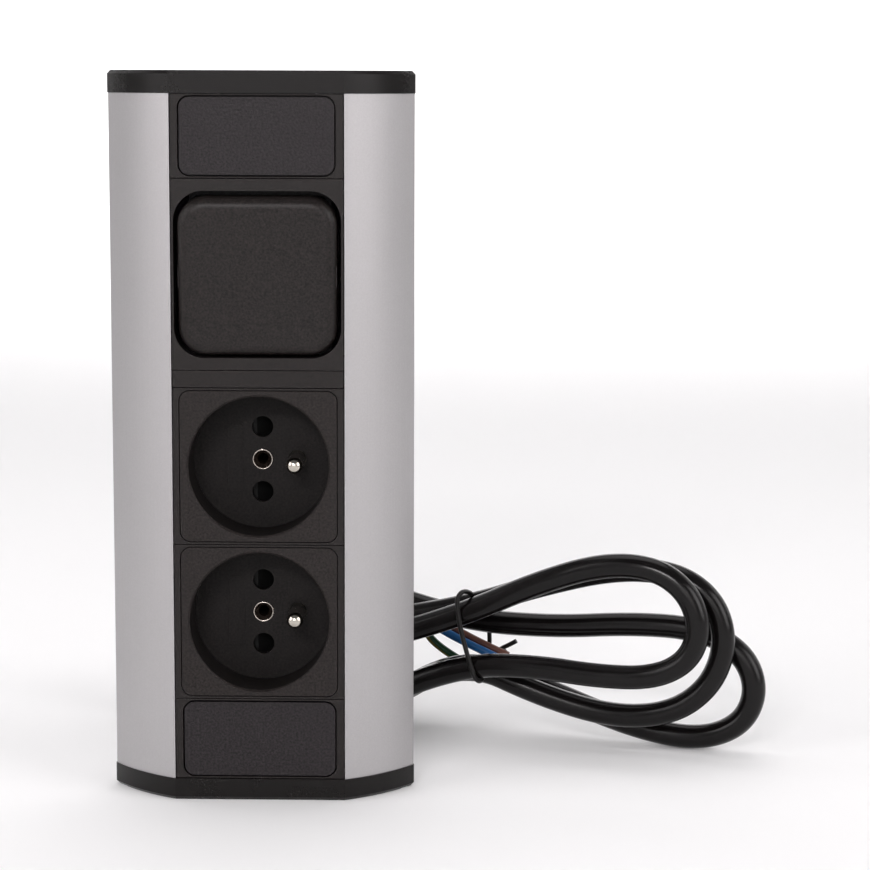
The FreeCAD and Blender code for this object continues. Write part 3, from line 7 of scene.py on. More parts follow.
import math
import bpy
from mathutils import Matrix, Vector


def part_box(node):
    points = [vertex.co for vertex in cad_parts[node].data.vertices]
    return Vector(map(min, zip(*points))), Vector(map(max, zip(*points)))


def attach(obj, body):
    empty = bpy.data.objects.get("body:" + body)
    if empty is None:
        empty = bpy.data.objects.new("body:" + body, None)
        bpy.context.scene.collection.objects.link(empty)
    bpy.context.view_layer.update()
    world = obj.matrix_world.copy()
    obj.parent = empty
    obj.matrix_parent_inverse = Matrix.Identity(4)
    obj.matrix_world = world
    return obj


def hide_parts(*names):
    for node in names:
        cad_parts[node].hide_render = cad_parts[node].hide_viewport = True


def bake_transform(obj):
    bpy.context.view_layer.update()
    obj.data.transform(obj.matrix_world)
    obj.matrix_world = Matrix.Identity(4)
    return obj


bl_info = {
    "name": "Corner socket column",
    "version": (1, 0, 0),
    "blender": (4, 5, 0),
    "location": "3D View > Sidebar > Socket Column",
    "description": "Dresses the packed socket column with finishes, its lead, tie and cores",
    "category": "Object",
}

import bmesh
import bpy
from bpy.props import FloatProperty, FloatVectorProperty, PointerProperty
from bpy.types import Operator, Panel, PropertyGroup
from mathutils import Matrix, Vector

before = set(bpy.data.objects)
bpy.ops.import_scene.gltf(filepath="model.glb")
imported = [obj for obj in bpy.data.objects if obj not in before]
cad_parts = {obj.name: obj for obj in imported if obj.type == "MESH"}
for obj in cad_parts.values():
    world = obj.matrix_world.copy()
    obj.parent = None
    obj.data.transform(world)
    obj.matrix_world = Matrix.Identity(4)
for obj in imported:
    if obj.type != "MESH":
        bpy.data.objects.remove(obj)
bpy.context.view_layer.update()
MM = 0.001

# A point is given as its X, its depth behind the column's front plates and its Z, in
# millimetres. The plates lie at this Y, in metres.
FRONT_Y = -0.01951417

# The lead's route is the CAD source's, with its loops moved to where the photograph
# shows them: the boot's tip and two points on the way to the hank.
BOOT_TIP = (0.0, 58.0, 18.0)
WAY_TO_HANK = ((-3.5, 76.5, 14.0), (-16.0, 89.5, 7.4))

# The hank's loops lie by turns to the left and the right of its waist, two to a layer, with
# each layer a pitch behind the last. A layer's depth grows to the left, and at FAR_X the
# first lies at FAR_DEPTH. A loop on the left climbs to the next layer over this first share
# of its way. The whole hank is lifted a little to clear the floor.
WAIST_X = 58.0
FAR_X = 130.0
FAR_DEPTH = 43.0
HANK_LIFT = 0.2
LAYER_SLANT = 0.325
LAYER_PITCH = 9.0
LAYER_CLIMB_SHARE = 0.36

# How far round the first loop the lead comes in, how far round the last it is cut, and how
# far before the cut the loop's own points stop, as shares of a loop.
FIRST_TURN_SHARE = 0.328
LAST_TURN_SHARE = 0.9342
CUT_CLEAR_SHARE = 0.04
POINTS_IN_LOOP = 10

# For each loop: the heights at which it leaves the waist and comes back to it, its reach,
# the height of its tip, the lean of its middle line, how far its two runs part, and how
# late they do, as a power.
LOOP_START_Z = (24.5, 40.8, 24.8, 41.0, 24.6, 35.4, 23.9)
LOOP_END_Z = (40.8, 24.8, 41.0, 24.6, 35.4, 23.9, 33.0)
LOOP_REACH = (104.0, 72.0, 101.0, 80.5, 104.0, 90.95, 99.0)
LOOP_TIP_Z = (23.0, 41.7, 24.0, 36.5, 26.0, 20.1, 23.2)
LOOP_LEAN = (-0.33, 0.36, -0.33, -0.03, -0.09, -0.21, -0.08)
LOOP_FLARE = (35.0, 28.3, 35.0, 36.8, 37.0, 34.0, 35.0)
LOOP_PINCH = (2.4, 1.36, 2.2, 1.06, 1.05, 1.58, 1.15)
# The points next to the waist that were moved up or down, to where the photograph
# shows the strands: the loop and the point in it, and how far in millimetres.
WAIST_MOVES = {(0, 9): -5.1, (2, 9): -1.1, (4, 9): 0.5, (2, 1): -4.8, (4, 1): -7.1, (6, 1): -11.1}

# The tie's loop goes down the hank's front, under it, up its back and over it in a small
# open arch. Its two ends are twisted together this many times and then come apart.
TIE_LOOP = (
    (56.2, 62.3, 44.3), (57.0, 61.8, 38.5), (58.9, 61.3, 31.0), (60.9, 60.8, 24.6),
    (61.8, 60.8, 21.9), (63.3, 63.0, 20.3), (64.2, 68.0, 20.2), (65.0, 84.0, 20.0),
    (65.6, 94.0, 20.0), (66.2, 97.6, 21.2), (66.6, 98.2, 25.0), (66.2, 97.4, 32.0),
    (64.6, 93.0, 39.0), (63.4, 88.0, 42.4), (61.8, 81.0, 44.8), (60.9, 74.0, 45.6),
    (59.6, 68.5, 47.9), (57.6, 64.5, 48.7), (56.2, 62.5, 47.2),
)
TIE_TWIST = ((66.6, 99.8, 17.8), (68.6, 100.2, 19.6), (70.6, 99.4, 22.4))
TIE_TWIST_TURNS = 2.2
TIE_TAIL = ((72.8, 98.2, 24.2), (75.2, 97.6, 25.7))
TIE_STUB = ((71.4, 101.6, 21.8), (71.8, 102.8, 20.6))

# Each core: its name, its angle in the lead's cut face in degrees, and the corner and the
# tip of its route.
CORE_ROUTES = (
    ("core_brown", 90, (53.2, 97.2, 29.8), (72.6, 94.8, 21.4)),
    ("core_earth", 210, (44.6, 98.4, 26.2), (58.0, 96.4, 18.9)),
    ("core_blue", 330, (50.0, 95.2, 29.6), (69.0, 92.2, 21.4)),
)

# In millimetres: the radius of the circle on which the cores stand, how far inside the cut
# face they start, how far they run straight out of it, and how far the bare strands reach
# into the insulation and past it. The strands' radius is a share of the core's.
CORE_CIRCLE = 1.8
CORE_SUNK = 0.8
CORE_STRAIGHT = 3.2
STRANDS_SUNK = 0.6
STRANDS_PROUD = 0.25
STRANDS_SHARE = 0.62

# A core's steps round it, which of them are yellow on the earth core, and how much of a
# turn its stripes wind.
CORE_STEPS = 20
STRIPE_STEPS = (2, 3, 4, 12, 13, 14)
STRIPE_TURNS = 0.35

# The heights of the sockets' centres, and the eyelet's section as radius and depth, in
# millimetres. The eyelet is stained as far out as the bore's radius, and a darker nickel from
# there to the funnel's.
LOWER_SOCKET_Z = 52.5
UPPER_SOCKET_Z = 97.5
EYELET_PROFILE = (
    (1.45, 37.3), (1.45, 25.0), (1.45, 17.0), (1.5, 16.7), (1.62, 16.5), (1.9, 16.1),
    (2.2, 15.6), (2.42, 15.15), (2.54, 14.85), (2.64, 14.68), (2.75, 14.61), (2.87, 14.62),
    (2.96, 14.74), (3.0, 15.0), (3.0, 17.0), (3.0, 36.5), (3.05, 36.6), (3.45, 36.62),
    (3.65, 36.72), (3.7, 36.95), (3.6, 37.2), (3.35, 37.3), (2.2, 37.3),
)
EYELET_BORE = 1.56
EYELET_FUNNEL = 2.45

# The shutters' springs: the wire's radius in millimetres, the turns and the steps in each,
# and how much the end turns close up.
SPRING_WIRE = 0.3
SPRING_TURNS = 5
SPRING_STEPS = 24
SPRING_CLOSED = 0.1

# The softened edges: their width on the blank covers and on the other pieces and the gap
# that is closed first, in millimetres, and the bend from which an edge is softened, in
# degrees.
COVER_EDGE = 0.3
FRAME_EDGE = 0.12
WELD_GAP = 0.001
EDGE_BEND = 40

# The depths over which the sockets' plastic turns plain and darkens as painted shade, and
# over which the pins darken as a painted reflection of the recess.
RECESS_PLAIN_AND_SHADED = (0.3, 1.2)
PIN_PAINTED_DARK_REFLECTION = (9.5, 13.5)

# The camera that was fitted to the photograph: its pitch, yaw and roll in radians, and its
# place in metres.
CAMERA_TURNS = (0.140245, -0.016316, -0.0036435)
CAMERA_PLACE = (0.061784, -0.734930, 0.207957)

# The stage: the floor's edge turns up in a quarter circle and ends in a wall, both given in
# metres. The steps are those of the quarter circle and those round the whole floor.
SWEEP_RADIUS = 0.9
WALL_TOP = 2.6
SWEEP_STEPS = 12
STAGE_STEPS = 64

# The light: the strength of the room's own light, the colour of the soft panels, and for
# each panel its name, place, target, width, height, watts and spread in degrees, which is
# that of a softbox's grid. Four panels stand before the column and beside it, two behind it
# and one above it, and one lights the backdrop.
ROOM_STRENGTH = 0.17
WARM_WHITE = (1.0, 0.96, 0.968)
PANELS = (
    ("panel_front", (-0.1, -1.9, 0.56), (0, 0, 0.12), 1.8, 0.9, 3.8, 120),
    ("panel_high", (-0.25, -1.5, 0.86), (0, 0, 0.06), 0.6, 0.13, 3.9, 120),
    ("panel_left", (-1.7, -0.85, 0.85), (0, 0, 0.06), 1.2, 1.5, 3.5, 80),
    ("panel_right", (1.7, -0.9, 0.85), (0, 0, 0.06), 1.2, 1.5, 4.2, 80),
    ("panel_left_back", (-1.36, 0.66, 0.85), (0, 0, 0.15), 0.8, 1.5, 0.9, 90),
    ("panel_right_back", (1.36, 0.66, 0.85), (0, 0, 0.15), 0.8, 1.5, 0.9, 90),
    ("panel_top", (0.0, 0.7, 2.1), (0, 0.3, 0.0), 1.8, 1.6, 6.4, 120),
    ("panel_backdrop", (0.3, 1.5, 2.3), (0.3, 3.0, 0.9), 2.6, 0.8, 50.0, 130),
)


# Small helpers


def linear(hex_code):
    """An sRGB hex colour as linear RGB."""
    channels = [int(hex_code[start:start + 2], 16) / 255 for start in (1, 3, 5)]
    return tuple(c / 12.92 if c <= 0.04045 else ((c + 0.055) / 1.055) ** 2.4 for c in channels)


def rgba(colour):
    return (*colour[:3], 1.0)


def per_metre(size_mm):
    """How often a pattern with features of this size repeats in a metre."""
    return 1 / (size_mm * MM)


def at(x, depth, z):
    """A point in the frame, from its X, depth and Z in millimetres."""
    return Vector((x * MM, FRONT_Y + depth * MM, z * MM))


def colours():
    return bpy.context.scene.socket_column_colours


def sizes():
    return bpy.context.scene.socket_column_sizes


def add_node(tree, kind, inputs=None, **settings):
    """Add a node. The inputs are values or other nodes' outputs, by socket name or number."""
    node = tree.nodes.new(kind)
    for name, value in settings.items():
        setattr(node, name, value)
    for key, value in (inputs or {}).items():
        if isinstance(value, bpy.types.NodeSocket):
            tree.links.new(value, node.inputs[key])
        else:
            node.inputs[key].default_value = value
    return node


def new_material(name, shader_inputs):
    """A material with one Principled shader; returns it with its tree and shader."""
    material = bpy.data.materials.new(name)
    material.use_nodes = True
    tree = material.node_tree
    tree.nodes.clear()
    shader = add_node(tree, "ShaderNodeBsdfPrincipled", shader_inputs)
    add_node(tree, "ShaderNodeOutputMaterial", {"Surface": shader.outputs["BSDF"]})
    return material, tree, shader


def link(piece):
    bpy.context.scene.collection.objects.link(piece)
    return piece


def finish_nodes(material, *names):
    """Give CAD nodes this material."""
    for name in names:
        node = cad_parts[name]
        for slot in node.material_slots:
            slot.material = material


def soften_edges(width_mm, *names):
    """Round the sharp edges of CAD nodes a little, as a mould leaves them."""
    for name in names:
        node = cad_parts[name]
        weld = node.modifiers.new("join_split_corners", "WELD")
        weld.merge_threshold = WELD_GAP * MM
        bevel = node.modifiers.new("soft_edges", "BEVEL")
        bevel.width = width_mm * MM
        bevel.segments = 2
        bevel.limit_method = "ANGLE"
        bevel.angle_limit = math.radians(EDGE_BEND)
        normals = node.modifiers.new("even_shading", "WEIGHTED_NORMAL")
        normals.keep_sharp = True


# Materials


def anodised_aluminium_extruded(colour):
    """Aluminium pressed through a die, etched and clear anodised.

    To the eye: a pale satin grey with soft, broad reflections, and faint upright lines
    where the die has drawn along the column.
    """
    material, tree, shader = new_material("anodised_aluminium_extruded", {
        "Base Color": rgba(colour), "Metallic": 1.0})
    place = add_node(tree, "ShaderNodeTexCoord")
    # Die lines are about 0.1 mm apart. They are drawn 0.7 mm wide so that they show.
    drawn = add_node(tree, "ShaderNodeMapping", {
        "Vector": place.outputs["Object"],
        "Scale": (per_metre(0.7), per_metre(0.7), per_metre(90))})
    lines = add_node(tree, "ShaderNodeTexNoise", {
        "Vector": drawn.outputs[0], "Scale": 1.0, "Detail": 3.0, "Roughness": 0.6})
    # The etched grain is finer than 0.1 mm and is drawn at 0.45 mm.
    grain = add_node(tree, "ShaderNodeTexNoise", {
        "Vector": place.outputs["Object"], "Scale": per_metre(0.45), "Detail": 2.0})
    # The etch is uneven over about 38 mm.
    cloud = add_node(tree, "ShaderNodeTexNoise", {
        "Vector": place.outputs["Object"], "Scale": per_metre(38), "Detail": 2.0})
    mixed = add_node(tree, "ShaderNodeMath", {
        0: lines.outputs[0], 1: cloud.outputs[0]}, operation="ADD")
    sheen = add_node(tree, "ShaderNodeMapRange", {
        "Value": mixed.outputs[0], "From Min": 0.7, "From Max": 1.3,
        "To Min": 0.43, "To Max": 0.5})
    tree.links.new(sheen.outputs[0], shader.inputs["Roughness"])
    shade = add_node(tree, "ShaderNodeMapRange", {
        "Value": grain.outputs[0], "From Min": 0.3, "From Max": 0.7,
        "To Min": 0.94, "To Max": 1.0})
    tinted = add_node(tree, "ShaderNodeVectorMath", {
        0: colour[:3], 1: shade.outputs[0]}, operation="MULTIPLY")
    tree.links.new(tinted.outputs[0], shader.inputs["Base Color"])
    relief = add_node(tree, "ShaderNodeMath", {
        0: lines.outputs[0], 1: 0.6, 2: grain.outputs[0]}, operation="MULTIPLY_ADD")
    bump = add_node(tree, "ShaderNodeBump", {
        "Strength": 0.25, "Distance": 0.02 * MM, "Height": relief.outputs[0]})
    tree.links.new(bump.outputs[0], shader.inputs["Normal"])
    return material


def moulded_plastic(name, colour, roughness, grain_mm, grain_depth_mm, spread=0.05, ior=1.32,
                    grain_gloss=0.2, grain_tone=0.15, recess_shade_share=1.0, sunk_roughness=None):
    """Thermoplastic moulded in a tool whose surface was eroded, blasted or polished.

    To the eye: the tool's grain breaks up the gloss, and slow waves in the wall and uneven
    cooling let the sheen wander a little across a face. Where the tool was left plain
    behind the front face, as in a plug recess, the plastic is rougher, and its colour is
    darkened there as painted shade, down to the given share of the colour.
    """
    material, tree, shader = new_material(name, {
        "Base Color": rgba(colour), "Roughness": roughness, "IOR": ior})
    place = add_node(tree, "ShaderNodeTexCoord")
    # A moulding tool's grain is about 0.2 mm. It is drawn at 0.6 to 0.7 mm so that it shows.
    grain = add_node(tree, "ShaderNodeTexNoise", {
        "Vector": place.outputs["Object"], "Scale": per_metre(grain_mm), "Detail": 3.0,
        "Roughness": 0.55})
    # The waves in the wall are about 24 mm across.
    flow = add_node(tree, "ShaderNodeTexNoise", {
        "Vector": place.outputs["Object"], "Scale": per_metre(24), "Detail": 2.0})
    sheen = add_node(tree, "ShaderNodeMapRange", {
        "Value": flow.outputs[0], "From Min": 0.35, "From Max": 0.65,
        "To Min": roughness - spread, "To Max": roughness + spread})
    pitted = add_node(tree, "ShaderNodeMath", {
        0: grain.outputs[0], 1: grain_gloss, 2: sheen.outputs[0]}, operation="MULTIPLY_ADD")
    centred = add_node(tree, "ShaderNodeMath", {
        0: pitted.outputs[0], 1: grain_gloss / 2}, operation="SUBTRACT")
    rough = centred.outputs[0]
    shade = add_node(tree, "ShaderNodeMapRange", {
        "Value": grain.outputs[0], "From Min": 0.3, "From Max": 0.7,
        "To Min": 1 - 2 * grain_tone, "To Max": 1 + 2 * grain_tone})
    tinted = add_node(tree, "ShaderNodeVectorMath", {
        0: colour[:3], 1: shade.outputs[0]}, operation="MULTIPLY")
    tone = tinted.outputs[0]
    if sunk_roughness is not None:
        place_xyz = add_node(tree, "ShaderNodeSeparateXYZ", {0: place.outputs["Object"]})
        recess_plain_and_shade = add_node(tree, "ShaderNodeMapRange", {
            "Value": place_xyz.outputs["Y"], "From Min": FRONT_Y + RECESS_PLAIN_AND_SHADED[0] * MM,
            "From Max": FRONT_Y + RECESS_PLAIN_AND_SHADED[1] * MM, "To Min": 0.0, "To Max": 1.0})
        duller = add_node(tree, "ShaderNodeMix", {
            0: recess_plain_and_shade.outputs[0], 2: rough, 3: sunk_roughness}, data_type="FLOAT")
        rough = duller.outputs[0]
        # Painted shade: deep in the recess the colour is darkened to the given share of itself.
        recess_shade = add_node(tree, "ShaderNodeMapRange", {
            "Value": recess_plain_and_shade.outputs[0], "To Min": 1.0, "To Max": recess_shade_share})
        shaded_recess_tone = add_node(tree, "ShaderNodeVectorMath", {
            0: tone, 1: recess_shade.outputs[0]}, operation="MULTIPLY")
        tone = shaded_recess_tone.outputs[0]
    tree.links.new(rough, shader.inputs["Roughness"])
    tree.links.new(tone, shader.inputs["Base Color"])
    relief = add_node(tree, "ShaderNodeBump", {
        "Strength": 0.6, "Distance": grain_depth_mm * MM, "Height": grain.outputs[0]})
    wave = add_node(tree, "ShaderNodeBump", {
        "Strength": 0.3, "Distance": 0.12 * MM, "Height": flow.outputs[0],
        "Normal": relief.outputs[0]})
    tree.links.new(wave.outputs[0], shader.inputs["Normal"])
    return material


def worked_metal(name, colour, roughness, mark_mm, mark_depth_mm):
    """Metal that was turned, stamped or drawn, then plated or left bright.

    To the eye: hard bright reflections, dulled a little by tool marks and handling.
    """
    material, tree, shader = new_material(name, {
        "Base Color": rgba(colour), "Metallic": 1.0, "Roughness": roughness})
    place = add_node(tree, "ShaderNodeTexCoord")
    # Tool marks are finer than 0.1 mm. They are drawn at 0.4 to 1.2 mm so that they show.
    marks = add_node(tree, "ShaderNodeTexNoise", {
        "Vector": place.outputs["Object"], "Scale": per_metre(mark_mm), "Detail": 3.0})
    dulled = add_node(tree, "ShaderNodeMapRange", {
        "Value": marks.outputs[0], "From Min": 0.3, "From Max": 0.7,
        "To Min": roughness * 0.75, "To Max": roughness * 1.35})
    tree.links.new(dulled.outputs[0], shader.inputs["Roughness"])
    bump = add_node(tree, "ShaderNodeBump", {
        "Strength": 0.4, "Distance": mark_depth_mm * MM, "Height": marks.outputs[0]})
    tree.links.new(bump.outputs[0], shader.inputs["Normal"])
    return material


def nickel_plated_pin():
    """A turned brass pin, nickel plated and bright at its tip, with a painted reflection of the dark
    recess towards its foot.

    To the eye: a mirror-like domed tip, a shaft whose colour is darkened towards the black
    recess as a painted reflection of it, and no bright ring where the pin leaves the floor.
    """
    bright = linear("#C2BCB2")
    material, tree, shader = new_material("brass_nickel_bright_pin", {
        "Base Color": rgba(bright), "Metallic": 1.0, "Roughness": 0.12})
    place = add_node(tree, "ShaderNodeTexCoord")
    place_xyz = add_node(tree, "ShaderNodeSeparateXYZ", {0: place.outputs["Object"]})
    # Painted reflection of the dark recess: the colour falls to near black towards the foot.
    seat = add_node(tree, "ShaderNodeMapRange", {
        "Value": place_xyz.outputs["Y"], "From Min": FRONT_Y + PIN_PAINTED_DARK_REFLECTION[0] * MM,
        "From Max": FRONT_Y + PIN_PAINTED_DARK_REFLECTION[1] * MM, "To Min": 1.0, "To Max": 0.03})
    tone = add_node(tree, "ShaderNodeVectorMath", {
        0: bright, 1: seat.outputs[0]}, operation="MULTIPLY")
    tree.links.new(tone.outputs[0], shader.inputs["Base Color"])
    # The turning marks are finer than 0.1 mm and are drawn at 0.5 mm.
    turned = add_node(tree, "ShaderNodeTexNoise", {
        "Vector": place.outputs["Object"], "Scale": per_metre(0.5), "Detail": 2.0})
    worn = add_node(tree, "ShaderNodeMapRange", {
        "Value": turned.outputs[0], "From Min": 0.3, "From Max": 0.7,
        "To Min": 0.08, "To Max": 0.2})
    tree.links.new(worn.outputs[0], shader.inputs["Roughness"])
    return material


def extruded_pvc(name, colour, roughness):
    """Soft PVC drawn over cores or wire.

    To the eye: a waxy gloss with one long soft highlight, a fine orange peel, and dull
    patches from handling.
    """
    material, tree, shader = new_material(name, {
        "Base Color": rgba(colour), "Roughness": roughness, "IOR": 1.32})
    place = add_node(tree, "ShaderNodeTexCoord")
    # Handling dulls it in patches of about 12 mm.
    sway = add_node(tree, "ShaderNodeTexNoise", {
        "Vector": place.outputs["Object"], "Scale": per_metre(12), "Detail": 0.0})
    # Surface orange peel of about 0.3 mm, drawn at 0.6 mm.
    peel = add_node(tree, "ShaderNodeTexNoise", {
        "Vector": place.outputs["Object"], "Scale": per_metre(0.6), "Detail": 2.0})
    gloss = add_node(tree, "ShaderNodeMapRange", {
        "Value": sway.outputs[0], "From Min": 0.35, "From Max": 0.65,
        "To Min": roughness - 0.02, "To Max": roughness + 0.05})
    tree.links.new(gloss.outputs[0], shader.inputs["Roughness"])
    skin = add_node(tree, "ShaderNodeBump", {
        "Strength": 0.3, "Distance": 0.02 * MM, "Height": peel.outputs[0]})
    tree.links.new(skin.outputs[0], shader.inputs["Normal"])
    return material


def painted_board(name, colour):
    """Matt emulsion on a smooth board.

    To the eye: even, white and without gloss.
    """
    material, tree, shader = new_material(name, {
        "Base Color": rgba(colour), "Roughness": 0.9, "Specular IOR Level": 0.2})
    place = add_node(tree, "ShaderNodeTexCoord")
    # The roller leaves a faint stipple of about 4 mm.
    stipple = add_node(tree, "ShaderNodeTexNoise", {
        "Vector": place.outputs["Object"], "Scale": per_metre(4), "Detail": 2.0})
    bump = add_node(tree, "ShaderNodeBump", {
        "Strength": 0.05, "Distance": 0.05 * MM, "Height": stipple.outputs[0]})
    tree.links.new(bump.outputs[0], shader.inputs["Normal"])
    return material


# Lines, tubes and meshes


def nurbs_curve(name, points, closed=False, resolution=8):
    """A curve object of one smooth NURBS spline with these control points."""
    curve = bpy.data.curves.new(name, "CURVE")
    curve.dimensions = "3D"
    curve.resolution_u = resolution
    spline = curve.splines.new("NURBS")
    spline.points.add(len(points) - 1)
    for place, point in zip(spline.points, points):
        place.co = (*point, 1.0)
    spline.use_cyclic_u = closed
    spline.order_u = 3
    spline.use_endpoint_u = not closed
    return link(bpy.data.objects.new(name, curve))


def smooth_line(points, resolution=8):
    """The points that a smooth NURBS spline with these control points runs through."""
    guide = nurbs_curve("guide", points, resolution=resolution)
    bpy.context.view_layer.update()
    mesh = bpy.data.meshes.new_from_object(guide)
    line = [vertex.co.copy() for vertex in mesh.vertices]
    curve = guide.data
    bpy.data.objects.remove(guide)
    bpy.data.curves.remove(curve)
    bpy.data.meshes.remove(mesh)
    return line


def line_frames(line):
    """A point, a side and an upward vector at each point of a line, without twist."""
    frames = []
    side = None
    for number, point in enumerate(line):
        before = line[max(0, number - 1)]
        after = line[min(len(line) - 1, number + 1)]
        way = (after - before).normalized()
        if side is None:
            side = way.orthogonal()
        side = (side - way * side.dot(way)).normalized()
        frames.append((point, side, way.cross(side)))
    return frames


def tube_mesh(name, line, radius, around, turns=0.0):
    """A closed tube along a line, with this many steps around it, wound by this many turns."""
    vertices, faces = [], []
    last = len(line) - 1
    for number, (point, side, up) in enumerate(line_frames(line)):
        for step in range(around):
            angle = math.tau * (step / around + turns * number / last)
            vertices.append(point + (side * math.cos(angle) + up * math.sin(angle)) * radius)
    for ring in range(last):
        for step in range(around):
            first, second = ring * around + step, ring * around + (step + 1) % around
            faces.append((first, second, second + around, first + around))
    faces.append(tuple(reversed(range(around))))
    faces.append(tuple(last * around + step for step in range(around)))
    mesh = bpy.data.meshes.new(name)
    mesh.from_pydata([tuple(vertex) for vertex in vertices], [], faces)
    for polygon in mesh.polygons[:-2]:
        polygon.use_smooth = True
    mesh.update()
    return link(bpy.data.objects.new(name, mesh))


def shutter_spring(node, finish):
    """A wire spring with closed ends from its seat to the shutter."""
    low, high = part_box(node)
    middle = (low + high) / 2
    wire = SPRING_WIRE * MM
    winding = (high.z - low.z) / 2 - wire
    steps = SPRING_STEPS * SPRING_TURNS
    line = []
    for step in range(steps + 1):
        share = step / steps
        along = share - SPRING_CLOSED * math.sin(math.tau * share)
        angle = math.tau * SPRING_TURNS * share
        line.append(Vector((low.x + wire + (high.x - low.x - 2 * wire) * along,
                            middle.y + winding * math.cos(angle),
                            middle.z + winding * math.sin(angle))))
    spring = tube_mesh(node + "_wire", line, wire, around=10)
    spring.data.materials.append(finish)
    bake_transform(spring)
    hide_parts(node)


def lathed(name, centre, profile, around):
    """A closed body turned about the Y axis; the profile holds radius and depth in mm."""
    vertices, faces = [], []
    for radius, depth in profile:
        for step in range(around):
            angle = math.tau * step / around
            vertices.append((centre.x + radius * MM * math.cos(angle), centre.y + depth * MM,
                             centre.z + radius * MM * math.sin(angle)))
    rings = len(profile)
    for ring in range(rings):
        after = (ring + 1) % rings
        for step in range(around):
            beside = (step + 1) % around
            faces.append((ring * around + step, ring * around + beside,
                          after * around + beside, after * around + step))
    mesh = bpy.data.meshes.new(name)
    mesh.from_pydata(vertices, [], faces)
    shell = bmesh.new()
    shell.from_mesh(mesh)
    bmesh.ops.recalc_face_normals(shell, faces=shell.faces)
    shell.to_mesh(mesh)
    shell.free()
    mesh.polygons.foreach_set("use_smooth", [True] * len(mesh.polygons))
    mesh.update()
    return link(bpy.data.objects.new(name, mesh))


def loop_point(loop, turn):
    """A point of one loop of the hank; turn runs from 0 to pi between two waist passages."""
    side = 1 if loop % 2 else -1
    start_z, end_z = LOOP_START_Z[loop], LOOP_END_Z[loop]
    reach, lean = LOOP_REACH[loop], LOOP_LEAN[loop]
    spread = max(0.0, math.sin(turn))
    across = reach * spread
    middle_z = (start_z + end_z) / 2
    bow = LOOP_TIP_Z[loop] - middle_z - lean * reach
    flare = side * LOOP_FLARE[loop] * math.cos(turn) * spread ** LOOP_PINCH[loop]
    z = middle_z + (start_z - end_z) / 2 * math.cos(turn) + lean * across + bow * spread ** 2 + flare
    climb = min(1.0, turn / (math.pi * LAYER_CLIMB_SHARE))
    last_layer = loop // 2
    first_layer = last_layer if loop % 2 else max(0, last_layer - 1)
    layer = first_layer + (last_layer - first_layer) * climb * climb * (3 - 2 * climb)
    x = WAIST_X + side * across
    return at(x, FAR_DEPTH + LAYER_SLANT * (FAR_X - x) + LAYER_PITCH * layer, z + HANK_LIFT)


def lead_end():
    """The last point of the hank's loops and the lead's direction there."""
    turn = LAST_TURN_SHARE * math.pi
    last = len(LOOP_REACH) - 1
    way = (loop_point(last, turn + 0.001) - loop_point(last, turn - 0.001)).normalized()
    return loop_point(last, turn), way


def lead_points():
    """The lead's control points, from the boot's tip through every loop to the cut end."""
    radius = sizes().lead_diameter / 2
    mouth = at(*BOOT_TIP)
    points = [mouth, mouth + Vector((0, 2 * radius, 0)), *(at(*point) for point in WAY_TO_HANK)]
    for loop in range(len(LOOP_REACH)):
        for number in range(POINTS_IN_LOOP):
            share = number / POINTS_IN_LOOP
            before_start = loop == 0 and share < FIRST_TURN_SHARE
            after_end = loop == len(LOOP_REACH) - 1 and share > LAST_TURN_SHARE - CUT_CLEAR_SHARE
            if not before_start and not after_end:
                moved = Vector((0, 0, WAIST_MOVES.get((loop, number), 0.0) * MM))
                points.append(loop_point(loop, share * math.pi) + moved)
    end, way = lead_end()
    return points + [end, end + way * 2 * radius]


# Settings


class SocketColumnSizes(PropertyGroup):
    """Sizes that a user of the model would change."""

    lead_diameter: FloatProperty(
        name="Lead diameter", description="Diameter of the lead's sheath",
        default=0.0074, unit="LENGTH")
    core_diameter: FloatProperty(
        name="Core diameter", description="Diameter of one insulated core",
        default=0.0026, unit="LENGTH")
    tie_diameter: FloatProperty(
        name="Tie diameter", description="Diameter of the covered tie wire",
        default=0.0015, unit="LENGTH")
    floor_radius: FloatProperty(
        name="Floor radius", description="Radius of the stage's flat floor",
        default=2.2, unit="LENGTH")
    lens: FloatProperty(
        name="Lens", description="Focal length of the camera on a 36 mm sensor, in millimetres",
        default=105.648, unit="CAMERA")


class SocketColumnColours(PropertyGroup):
    """Colours of the finishes, stored as linear RGB."""

    aluminium: FloatVectorProperty(
        name="Aluminium", description="Anodised column", subtype="COLOR",
        default=linear("#B1AFB0"))
    caps: FloatVectorProperty(
        name="Caps", description="End caps", subtype="COLOR", default=linear("#0C0908"))
    frames: FloatVectorProperty(
        name="Frames", description="Module frames and spacer", subtype="COLOR",
        default=linear("#1A1615"))
    covers: FloatVectorProperty(
        name="Blank covers", description="Grained blank covers", subtype="COLOR",
        default=linear("#1E1A1C"))
    rocker: FloatVectorProperty(
        name="Rocker", description="Switch rocker", subtype="COLOR",
        default=linear("#1A1615"))
    sockets: FloatVectorProperty(
        name="Socket covers", description="Socket covers with their recess", subtype="COLOR",
        default=linear("#211D1C"))
    lead: FloatVectorProperty(
        name="Lead", description="Sheath of the lead", subtype="COLOR",
        default=linear("#0C0A0A"))
    brown: FloatVectorProperty(
        name="Brown core", description="Live insulation", subtype="COLOR",
        default=linear("#5C3A30"))
    blue: FloatVectorProperty(
        name="Blue core", description="Neutral insulation", subtype="COLOR",
        default=linear("#1A5388"))
    # The earth core's green and its yellow stripe are darker than the insulation itself: painted
    # shade for the core lying in shade.
    green: FloatVectorProperty(
        name="Green", description="Earth insulation", subtype="COLOR",
        default=linear("#16391F"))
    yellow: FloatVectorProperty(
        name="Yellow stripe", description="Stripe of the earth insulation", subtype="COLOR",
        default=linear("#5F5522"))
    floor: FloatVectorProperty(
        name="Floor", description="Floor and backdrop", subtype="COLOR",
        default=linear("#F5F6F6"))


# Operators


